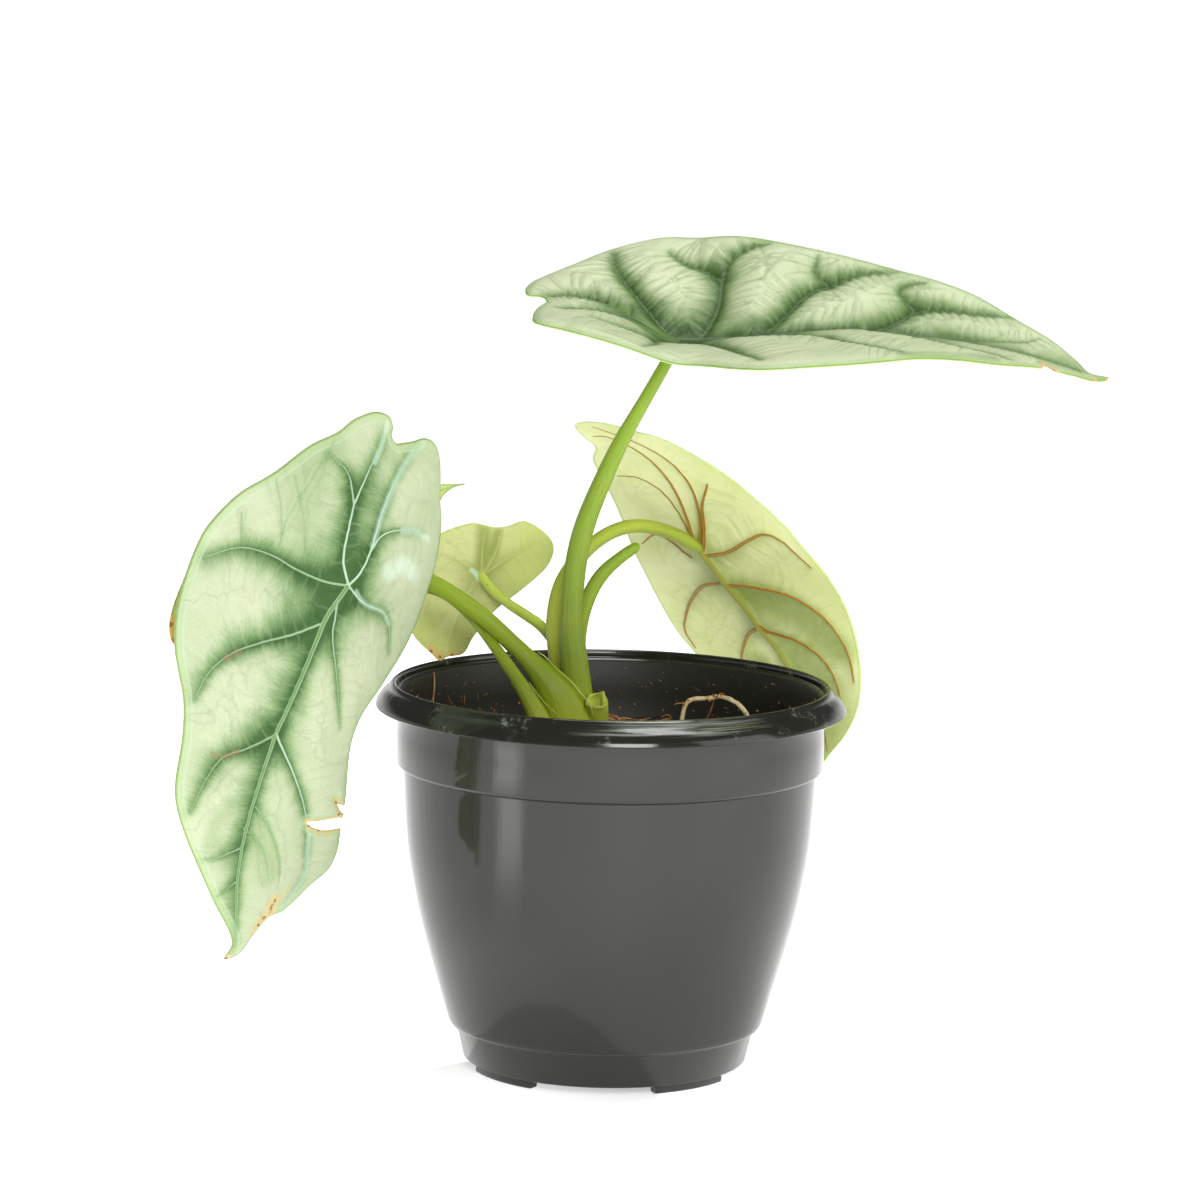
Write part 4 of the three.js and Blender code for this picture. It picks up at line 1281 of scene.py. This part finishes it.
left_leaf = {
    **plain_leaf,
    "junction": (-70.4, -48, 140.5),
    "tip": (-102.4, -55, 39.8),
    "across": (0.738, 0.616, -0.277),
    "arch": 6,
    "droop": -84,
    "fold": -0.22,
    "fold_back": -0.22,
    "curl": -0.15,
    "quilt": 2.0,
    "ripple": 0.22,
    "outline": [
        (-45.7, 2.3), (-45.2, 7.5), (-43.1, 8.4), (-40.7, 7.8), (-39.2, 9.4), (-39.6, 12),
        (-40.7, 16.8), (-42.3, 22.4), (-41.7, 26.5), (-39.4, 28.6), (-27.1, 29.9), (-22.8, 31.2),
        (-8.9, 32), (8.5, 29), (23.3, 21.5), (33.1, 16), (41.2, 15.2), (57.3, 20.6),
        (64, 22.5), (70.7, 24.7), (76, 24.2), (81.3, 19.3), (89.3, 13.2), (92.1, 8.6),
        (97.5, 5.9), (103.6, 4.1), (105.9, 0), (101.5, 0.2), (90, -11.5), (73.8, -26.4),
        (64.9, -31.9), (49.4, -35), (40.9, -37.4), (27.9, -43.4), (16.9, -45.4), (0.9, -43.9),
        (-5.4, -42.2), (-14.8, -36.7), (-23, -28), (-32.5, -18.5), (-37.8, -10.6), (-42.4, -5.2),
    ],
    "tears": [
        [
            (63.9, 7.3), (63.2, 11.9), (62.3, 15.8), (61.4, 19.6), (61.2, 27), (64.2, 27),
            (64.2, 22.6), (65.3, 17.9), (65.6, 14.8), (65.1, 10.6),
        ],
        [(56.3, 15.5), (57.6, 17.6), (57.9, 20.9), (58.0, 25), (59.6, 25), (59.9, 20.6), (58.4, 18.2)],
    ],
    "burns": [
        (64.6, 9.4, 2.2), (65.8, 13.6, 1.9), (66.2, 17.6, 1.4), (60.3, 19.4, 1.8), (57.2, 16.6, 1.5),
        (85.7, 8.4, 1.6), (87.0, 7.4, 2.6), (88.8, 7.2, 3.2), (90.6, 7.6, 3.0), (92.3, 6.4, 3.0),
        (94.6, 5.7, 2.6), (97.1, 5.1, 1.9), (83.4, 10.3, 1.0), (105.7, 0.2, 2.0),
    ],
    "shades": [
        ([(-34, -13), (-26, -17), (-17, -18), (-8, -16)], 11),
        ([(68, -8), (74, -3), (80, 2)], 6),
        ([(64, -17), (70, -19), (76, -18)], 4),
    ],
    # Painted sheen along the lobe veins, in the right cell and along the lower right vein, partly the
    # leaf's own silver.
    "sheens_and_tints": [
        ([(-42, 22), (-36.7, 15.4), (-31, 10.4), (-20.9, 5.9), (-12, 4.8)], 1.9),
        ([(-44, 6), (-39.5, 4.2), (-33, 1.0)], 1.5),
        ([(-17.7, 14.3), (-18.2, 20), (-17, 26)], 1.7),
        ([(-7, 23), (-9, 18), (-6, 12)], 4.6),
        ([(1, 3), (3.5, 6.7), (4.8, 14.7), (7.5, 18)], 1.3),
        ([(64, 9), (70.8, 11.9), (79, 14.8), (88.6, 11.5)], 1.6),
    ],
    "rusts": [([(52.5, -26.5), (52.1, -22.5), (49.5, -19)], 1.5), ([(27.5, -30), (24, -26.5)], 1.3)],
    "veins": [
        vein([(0, 0), (9.5, -4.6), (13.8, -5.6), (31.1, -8.7), (43.1, -10.3), (57, -10.8),
              (72.4, -9.3), (84.4, -6.4), (101.5, 0.9)], 0.62, 2.8, 7.4, 1.0, 0.1),
        vein([(0, 0), (-6.4, -3.8), (-15.1, -4.4), (-20.9, -3.8), (-30, -0.8), (-40, 4.3)],
             0.36, 5.4, 5.4, 1.0, 0.9),
        vein([(0, 0), (-3.8, 2.7), (-10.1, 4.5), (-20.9, 5.9), (-31, 10.4), (-40.6, 19.8)],
             0.36, 5.2, 2.2, 0.9, 1.0),
        vein([(-20.9, -3.8), (-28.5, -7.1), (-31.4, -12.1)], 0.28, 4.0, 2.0, 0.9, 0.6),
        vein([(0, 0), (0.6, -7.9), (-0.5, -16.8), (-2.1, -23.4), (-1.9, -32.5), (3.1, -41.3)],
             0.28, 6.6, 5.2, 1.0, 0.5),
        vein([(11.8, -6.2), (16, -12.7), (20.9, -21.9), (25.7, -28.8), (31.9, -33.2), (39.3, -35)],
             0.28, 3.0, 6.8, 1.0, 0.5),
        vein([(43.1, -10.3), (48.5, -17), (52.6, -22.8), (60, -25.4), (68.5, -26.4)],
             0.26, 2.6, 5.6, 0.95, 0.35),
        vein([(74.6, -8.9), (79.1, -15.2), (80.5, -19)], 0.25, 1.2, 2.6, 0.6, 0.3),
        vein([(84.4, -7.1), (89.1, -10.4)], 0.22, 1.0, 1.8, 0.5, 0.3),
        vein([(-10.1, 4.5), (-15, 7.4), (-17.7, 14.3), (-18.2, 23.8)], 0.28, 1.8, 3.0, 0.75, 0.9),
        vein([(0, 0), (3.5, 6.7), (4.8, 14.7), (6.9, 17.7), (14.5, 20.5)], 0.28, 1.8, 3.4, 0.85, 0.9),
        vein([(4.4, -2.3), (8.5, -2.0), (13.7, -1.7), (25.7, 3.3), (36.9, 8.5)], 0.26, 2.2, 2.6, 0.8, 0.6),
        vein([(42.5, -10.3), (45.6, -7.8), (52.8, -1.2), (61, 5.8), (70.8, 11.9), (79, 14.8), (88.6, 11.5)],
             0.28, 2.2, 3.0, 0.8, 0.8),
        vein([(63.0, -9.5), (66.7, -4.6), (71.7, 0.0), (77.8, 4.5), (83.5, 6.6)], 0.2, 0.9, 1.6, 0.45, 0.2),
        vein([(69.5, -10.6), (71.3, -6.2), (75.4, -1.8), (81.5, 2.2)], 0.2, 0.8, 1.4, 0.4, 0.2),
        vein([(-35.6, -11.7), (-27.5, -16.1), (-18.8, -20.3), (-12.4, -22.7), (-8.3, -22.9)],
             0.16, 1.2, 0.7, 0.28, 0.1),
        vein([(-21.5, -27.5), (-14.7, -24.9), (-9.2, -23.5), (-3.5, -22.5)], 0.16, 1.1, 0.7, 0.25, 0.1),
        vein([(-23.9, -22.7), (-14.6, -18.6), (-2.7, -14.8)], 0.16, 1.0, 0.7, 0.24, 0.1),
        vein([(-10.7, -35.1), (-3.5, -33.1)], 0.16, 0.9, 0.6, 0.3, 0.1),
    ],
}

silver_above = {
    "ground": (0.365, 0.415, 0.265),
    "ground_warm": (0.415, 0.455, 0.305),
    "sheen_and_tint": (0.53, 0.68, 0.57),
    "valley_shade_and_tint": (0.27, 0.34, 0.18),
    "soft_band": (0.15, 0.24, 0.095),
    "deep_band": (0.022, 0.075, 0.01),
    "fine_strength": 0.26,
    "valley_shade_and_tint_strength": 0.75,
    "vein_strength": 1.0,
    "margin": (0.32, 0.42, 0.2),
    "edge": (0.17, 0.27, 0.07),
    "vein": (0.37, 0.51, 0.36),
    "vein_green": (0.17, 0.29, 0.085),
    "dry": (0.46, 0.38, 0.17),
    "dead": (0.2, 0.11, 0.04),
}
silver_below = {
    "sheen_and_tint": (0.6, 0.72, 0.4),
    "ground": (0.6, 0.68, 0.28),
    "ground_warm": (0.68, 0.74, 0.36),
    "shadow": (0.25, 0.36, 0.07),
    "shadow_strength": 0.55,
    "fine_strength": 0.15,
    "edge": (0.45, 0.6, 0.2),
    "rib": (0.36, 0.42, 0.09),
    "rib_strength": 1.0,
    "vein_brown": (0.34, 0.12, 0.03),
    "brown_strength": 0.9,
}
left_silver = leaf_surface("left_leaf_silver", silver_above, silver_below)
add_blade(left_leaf, "left_blade", left_silver, "leaf_silver", "left_leaf_blade", 11)


# Top leaf
# The biggest leaf, held nearly level above the pot on the longest stalk. The viewer looks
# along its upper face. Its far half is strongly quilted, and its thin tip has dried.

top_leaf = {
    **plain_leaf,
    "junction": (17, 0, 204.5),
    "tip": (134.1, -6, 195.8),
    "across": (0.075, 0.927, 0.367),
    "arch": 9,
    "lift": 6.5,
    "fold": 0.23,
    "fold_back": 0.08,
    "roll_back": -0.22,
    "quilt": 4.6,
    "ripple": 0.95,
    "near_calm": 0.7,
    "fine_step": 0.62,
    "fine_reach": 14,
    "outline": [
        (-43.9, 8.9), (-42.5, 4.9), (-39.2, 5.2), (-37.4, 2.2), (-38.9, -6.2), (-39.4, -19.2),
        (-37.8, -28.1), (-29.2, -31.3), (-18.8, -33), (-7.4, -33.9), (6.5, -35), (17.3, -41.2),
        (25.8, -44.1), (43.3, -40.7), (53.7, -35.5), (65.2, -27), (74.9, -22.5), (86.5, -18.5),
        (98.8, -10.5), (107.6, -8.2), (113.5, -6.5), (117.6, 0), (112.5, -1.5), (108.8, 2.7),
        (102, 8.2), (90.7, 13.6), (79.4, 19.7), (68.2, 23.2), (57.1, 25.7), (45.9, 29.3),
        (32.4, 33.9), (17.8, 39.4), (6.6, 44.2), (-5.8, 47.6), (-14, 46.6), (-24, 42.6),
        (-32.5, 33.8), (-40.1, 22.4), (-42.8, 16.4),
    ],
    "tears": [[(98.9, -14), (98.9, -9), (99.6, -6.4), (101.3, -7.8), (103.2, -9.4), (103.4, -14)]],
    "burns": [(99.9, -6.8, 1.3), (102.0, -8.6, 1.3), (117.4, -0.4, 2.2), (113.6, -5.8, 1.1)],
    "shades": [([(100, -2), (118, -1)], 8), ([(86, -16), (72, -22), (60, -27)], 3)],
    "sheens_and_tints": [([(-2, -1), (-10, 3), (-20, 8)], 2.2), ([(-2, -3), (-12, 0.4), (-22, 0.6)], 1.8)],
    "veins": [
        vein([(0, 0), (19.9, -3), (36.9, -2.4), (53.5, 0.2), (69.2, -0.5), (82.4, -1.2), (101.1, -2.5),
              (109, -3.1)], 0.7, 3.4, 2.8, 1.0, 0.3),
        vein([(-0.5, -0.5), (-1.6, -2.1), (-12, 3.3), (-23.4, 9), (-32.3, 9.3), (-37.4, 5.9)],
             0.5, 4.6, 5.2, 0.95, 0.35),
        vein([(-0.5, -1.5), (-1.4, -4.4), (-14, 0.4), (-25, 0.4), (-33.2, -5.5)],
             0.5, 3.6, 3.0, 0.95, 0.35),
        vein([(0, -3), (-3.7, -7.8), (-8, -12), (-15, -13), (-24, -10.5)], 0.3, 2.2, 3.4, 0.75, 0.2),
        vein([(-0.9, -1.9), (-8, 7.2), (-15.4, 19), (-20.6, 30.7), (-21.9, 39.9)],
             0.45, 4.2, 5.2, 1.0, 0.35),
        vein([(5.8, -0.1), (8.8, 9.2), (9.8, 15.9), (9.6, 24.5), (11.1, 31.7), (16.1, 35.4), (21.3, 36.2)],
             0.45, 4.8, 2.6, 1.0, 0.3),
        vein([(9.5, 25.4), (3.9, 30.9), (-1.6, 33.8), (-6.3, 38.6)], 0.32, 2.6, 3.2, 0.8, 0.2),
        vein([(23.9, 0), (28.6, 7.3), (32.4, 13.9), (36.7, 17.9), (39.8, 19.4), (46.9, 22.6),
              (57.4, 24.5)], 0.42, 4.2, 2.2, 1.0, 0.3),
        vein([(38.9, 19.6), (35.2, 24), (35.4, 30)], 0.28, 2.0, 2.0, 0.7, 0.2),
        vein([(53.4, 0.8), (60, 7), (63.4, 11.1), (69.7, 12), (80.9, 12.2), (90.5, 13.5)],
             0.36, 3.2, 1.8, 0.95, 0.25),
        vein([(63.4, 11.1), (61.2, 14), (58.8, 17.7), (61.4, 20.2), (66.1, 21.5)],
             0.28, 2.2, 2.0, 0.8, 0.2),
        vein([(71.3, 1.3), (79.7, 1.1), (88.2, 2.6), (94.5, 4.5), (98.2, 7.5)], 0.3, 1.8, 1.2, 0.6, 0.25),
        vein([(3.5, -4.1), (9, -10.7), (14.6, -20.3), (23.4, -35.7)], 0.4, 2.8, 2.4, 0.85, 0.25),
        vein([(13.7, -1.9), (26.8, -6.1), (38.2, -9.6), (43.5, -14.5), (51.3, -19), (60.7, -23.8)],
             0.4, 2.4, 3.4, 0.85, 0.3),
        vein([(60.3, -2), (69.3, -5), (77.7, -8.6), (85.1, -9.5), (90.4, -11.9)],
             0.3, 1.8, 2.6, 0.75, 0.25),
        vein([(-6.5, -11), (-6, -20), (-9, -29)], 0.3, 2.0, 2.4, 0.6, 0.2),
    ],
}

grey_above = {
    "sheen_and_tint": (0.16, 0.3, 0.05),
    "ground": (0.46, 0.52, 0.32),
    "ground_warm": (0.51, 0.56, 0.36),
    "valley_shade_and_tint": (0.24, 0.32, 0.15),
    "soft_band": (0.13, 0.21, 0.07),
    "deep_band": (0.03, 0.075, 0.01),
    "fine_strength": 0.55,
    "valley_shade_and_tint_strength": 0.9,
    "vein_strength": 0.3,
    "margin": (0.24, 0.36, 0.12),
    "edge": (0.13, 0.25, 0.03),
    "vein": (0.4, 0.48, 0.3),
    "vein_green": (0.14, 0.24, 0.08),
    "dry": (0.5, 0.36, 0.18),
    "dead": (0.22, 0.09, 0.03),
}
top_silver = leaf_surface("top_leaf_silver", grey_above, silver_below)
add_blade(top_leaf, "top_blade", top_silver, "leaf_silver", "top_leaf_blade", 12)


# Right leaf
# It hangs down behind the pot's right rim and shows its pale yellow-green underside, with
# red-brown edges along the raised side veins and a plain green midrib.

right_leaf = {
    **plain_leaf,
    "junction": (25.7, 46, 139.1),
    "tip": (57.4, 66, 61.6),
    "across": (-0.725, 0.678, -0.122),
    "arch": 8,
    "droop": -60,
    "quilt": 1.8,
    "ripple": 0.2,
    "outline": [
        (-53.6, 5.6), (-55.3, -1), (-53.8, -6.7), (-48.2, -13.3), (-45.7, -17), (-35.8, -21.8),
        (-26, -26.2), (-17.8, -29.4), (-10, -33.3), (-0.6, -37), (10.6, -38.8), (23.3, -38.5),
        (35.3, -36.2), (47.4, -32.3), (56.7, -27.6), (65, -20.3), (72.7, -10.5), (79, -4.5),
        (86, 0), (80, 3.5), (72, 9), (62, 15.5), (52, 21), (39.9, 27.3),
        (30.8, 31), (18.1, 31.3), (0, 28), (-12.3, 25.8), (-29.9, 20.9), (-36.6, 17.1),
        (-42.3, 10.5), (-47, 9.5),
    ],
    "shades": [
        ([(18, -5), (25, -19), (38, -27)], 12),
        ([(40, -11), (52, -16), (66, -8)], 15),
        ([(42, 4), (60, 4)], 8),
    ],
    "veins": [
        vein([(0, 0), (12.9, -0.7), (28.4, -3.4), (36.1, -5.9), (44.3, -7.2), (60, -6), (80, -1.2)],
             1.15, 2.0, 4.0, 0.8, 0.7),
        vein([(-1.4, -0.4), (-16.1, -7.4), (-25.6, -10.2), (-35.4, -10.3), (-44.5, -6.5), (-52.4, -0.4)],
             0.42, 2.6, 2.0, 0.6, 0.9),
        vein([(-4.7, 1), (-14.3, -1), (-28, -3.7), (-39, -3.6), (-46.9, 0.3), (-47.4, 5.3)],
             0.42, 2.2, 2.2, 0.6, 0.9),
        vein([(-0.5, 0.5), (-6.4, 1.5), (-14.4, 1.7), (-22, 2.9), (-27.2, 7.2), (-28.4, 14.8)],
             0.34, 2.0, 1.6, 0.5, 0.8),
        vein([(0, -0.5), (-8, -5.1), (-16, -9.2), (-23.9, -16.4)], 0.42, 2.0, 2.2, 0.7, 0.8),
        vein([(1.5, -1), (0.7, -9), (-3, -18.5), (-5, -26), (-2.4, -31), (7.7, -35.4)],
             0.46, 5.0, 2.4, 0.85, 0.8),
        vein([(6.2, 0.4), (12.5, -1), (14.4, -9), (18.2, -21.4), (25.9, -28.8), (33.6, -31.1),
              (41, -31.2), (48.2, -29.5)], 0.5, 8.5, 2.4, 1.0, 0.8),
        vein([(27.9, -3.6), (30.5, -6), (34, -14.4), (40.6, -21.3), (47.5, -22.9), (55.3, -22.2)],
             0.46, 7.5, 2.2, 1.0, 0.8),
        vein([(2.2, 6.1), (-3.6, 11), (-5.8, 15.4), (-2.5, 23.1)], 0.34, 2.0, 2.6, 0.6, 0.8),
        vein([(12.4, 0.4), (13.7, 9.3), (18.3, 16.6), (24.7, 23.3), (30.9, 27.4), (36.8, 26.7)],
             0.46, 2.4, 4.2, 0.8, 0.8),
        vein([(29.2, -2.9), (31.4, 1.9), (36.1, 6.8), (41.5, 10.4), (50, 12)], 0.42, 2.2, 3.6, 0.8, 0.8),
        vein([(50, -7), (60, -12.5), (70, -12)], 0.3, 2.6, 1.6, 0.6, 0.7),
        vein([(53, -6.8), (60, 0), (67, 5)], 0.3, 1.6, 2.4, 0.6, 0.7),
    ],
}

bright_below = {
    "sheen_and_tint": (0.74, 0.78, 0.42),
    "ground": (0.74, 0.8, 0.34),
    "ground_warm": (0.81, 0.85, 0.44),
    "shadow": (0.22, 0.32, 0.02),
    "shadow_strength": 0.64,
    "fine_strength": 0.1,
    "edge": (0.42, 0.62, 0.14),
    "rib": (0.32, 0.33, 0.05),
    "rib_strength": 0.9,
    "vein_brown": (0.4, 0.13, 0.015),
    "brown_strength": 1.0,
}
right_green_leaf = leaf_surface("right_leaf_silver", silver_above, bright_below)
add_blade(right_leaf, "right_blade", right_green_leaf, "leaf_silver", "right_leaf_blade", 13)


# Small leaf
# A small pale leaf behind the stalks, seen from below. It is folded between its lobes, and
# its end has burnt orange-brown.

small_leaf = {
    **plain_leaf,
    "junction": (-37.1, 20, 134.7),
    "tip": (-49, 17, 110.5),
    "across": (-0.874, -0.181, 0.452),
    "arch": 2,
    "fold": 0.1,
    "fold_back": 0.1,
    "quilt": 1.0,
    "ripple": 0.12,
    "rib_height": 0.4,
    "outline": [
        (-9.1, 11.8), (-11.8, 8.4), (-12.8, 4.8), (-13.6, 2.1), (-15.5, -0.7), (-18.6, -4),
        (-18.8, -8.9), (-17.1, -14.1), (-14.9, -15.8), (-11, -16.3), (-7, -15.2), (2.7, -10.9),
        (8.2, -8.6), (17.2, -6.7), (22.2, -6.2), (25.2, -2.2), (27, -0.9), (26.3, 2),
        (23.4, 9.7), (16, 14), (7, 17.3), (-1, 17.5), (-5, 15.4),
    ],
    "burns": [
        (25.6, 2.6, 2.3), (25.9, -0.4, 2.1), (24.0, -3.4, 1.9), (22.8, -5.8, 1.5), (-12.4, 7.6, 0.6),
        (-11.5, 0.2, 0.5), (-9.6, -13.5, 0.5), (4.0, 3.8, 0.5), (18.1, -6.0, 0.6), (10, 2.8, 0.4),
    ],
    "shades": [([(-12, 5.5), (-7.5, 3.6), (-2.5, 1.2)], 3.4), ([(-13, 1.4), (-6, 0.2)], 2.0)],
    "sheens_and_tints": [([(0.2, 3.2), (0.8, 1.2), (1.6, -0.4)], 1.3)],
    "veins": [
        vein([(0, 0), (10.3, 0.4), (17.8, -0.3), (24.7, -1.4)], 0.5, 1.6, 1.6, 0.5, 0.6),
        vein([(-0.5, 0.2), (-6.1, 2.9), (-11.5, 4.7)], 0.3, 4.6, 0.9, 1.0, 0.5),
        vein([(-0.8, -0.5), (-7.2, -0.7), (-13.6, 0.4)], 0.3, 0.9, 4.2, 1.0, 0.5),
        vein([(-1.1, -1), (-6.5, -4.3), (-12.3, -8.5), (-15.9, -10.8)], 0.3, 1.2, 4.2, 0.7, 0.5),
        vein([(0, 0), (-0.3, 4.3), (-0.5, 10.1), (-0.3, 13.1)], 0.3, 1.4, 3.6, 0.6, 0.5),
        vein([(1.4, 0.1), (6.5, 2.4), (10.8, 4.6), (16, 7)], 0.28, 1.2, 1.2, 0.4, 0.5),
        vein([(1.7, -0.6), (5, -1.9), (8, -5)], 0.26, 1.0, 1.0, 0.3, 0.5),
    ],
}

pale_below = {
    "sheen_and_tint": (0.5, 0.76, 0.56),
    "ground": (0.47, 0.52, 0.16),
    "ground_warm": (0.54, 0.57, 0.25),
    "shadow": (0.24, 0.29, 0.05),
    "shadow_strength": 0.75,
    "fine_strength": 0.12,
    "edge": (0.42, 0.5, 0.13),
    "rib": (0.6, 0.66, 0.27),
    "rib_strength": 0.25,
    "vein_brown": (0.4, 0.25, 0.08),
    "brown_strength": 0.1,
}
pale_leaf = leaf_surface("small_leaf_pale", {**silver_above, "dry": (0.6, 0.4, 0.12)}, pale_below)
add_blade(small_leaf, "small_blade", pale_leaf, "leaf_pale", "small_leaf_blade", 14)


# Old leaf
# An ageing leaf behind the left one. Only its yellow and orange-brown edge and its thin tip
# show from the front.

old_leaf = {
    **plain_leaf,
    "junction": (-93.6, -48, 136.3),
    "tip": (-40.9, 2, 162.3),
    "across": (-0.455, 0.017, 0.89),
    "arch": 3,
    "droop": -30,
    "fold": -0.1,
    "fold_back": -0.1,
    "quilt": 1.2,
    "ripple": 0.15,
    "outline": [
        (77.2, 0), (71.6, 2.2), (66.8, 4.2), (58, 8), (48, 13.5), (30, 20), (12, 22), (-2, 21),
        (-12, 18.5), (-19.1, 13.6), (-24.4, 9.1), (-27.4, 5.2), (-28.4, 1.5), (-25.5, -4),
        (-21, -10), (-12, -17), (2, -20), (14, -17), (24, -11), (33, -6), (45, -5), (58, -4),
        (63, -1.6), (66.8, 0.4), (71.6, 1),
    ],
    "burns": [(-28, 1, 6.5), (-26.5, -4, 4.5), (-21, -11, 3.5), (-27, 6, 3.5), (12, 22, 3)],
    "veins": [
        vein([(0, 0), (15, 1), (30, 3), (50, 2.5), (66, 2.2), (74, 1)], 0.6, 1.8, 1.8, 0.6, 0.6),
        vein([(0, 0), (-10, 4), (-20, 6)], 0.4, 1.8, 1.8, 0.6, 0.5),
        vein([(0, 0), (-9, -5), (-16, -8)], 0.4, 1.8, 1.8, 0.6, 0.5),
        vein([(1, 0), (2, 9), (5, 17)], 0.35, 1.8, 1.8, 0.5, 0.5),
        vein([(2, 0), (4, -8), (6, -15)], 0.35, 1.8, 1.8, 0.5, 0.5),
        vein([(14, 1), (20, 9), (30, 15)], 0.32, 1.6, 1.6, 0.5, 0.5),
        vein([(16, 1), (22, -5), (30, -6)], 0.3, 1.4, 1.4, 0.5, 0.5),
        vein([(32, 3), (40, 8), (50, 10)], 0.3, 1.4, 1.4, 0.5, 0.5),
    ],
}

old_above = {
    **silver_above,
    "ground": (0.4, 0.5, 0.16),
    "ground_warm": (0.5, 0.5, 0.14),
    "valley_shade_and_tint": (0.3, 0.4, 0.1),
    "soft_band": (0.26, 0.36, 0.08),
    "deep_band": (0.12, 0.2, 0.03),
    "margin": (0.42, 0.48, 0.13),
    "edge": (0.25, 0.3, 0.06),
    "dry": (0.62, 0.34, 0.08),
    "dead": (0.3, 0.11, 0.03),
}
old_below = {
    **pale_below,
    "ground": (0.4, 0.48, 0.14),
    "ground_warm": (0.5, 0.5, 0.15),
    "edge": (0.3, 0.36, 0.08),
}
old_yellow = leaf_surface("old_leaf_yellow", old_above, old_below)
add_blade(old_leaf, "old_blade", old_yellow, "leaf_old", "old_leaf_blade", 15)
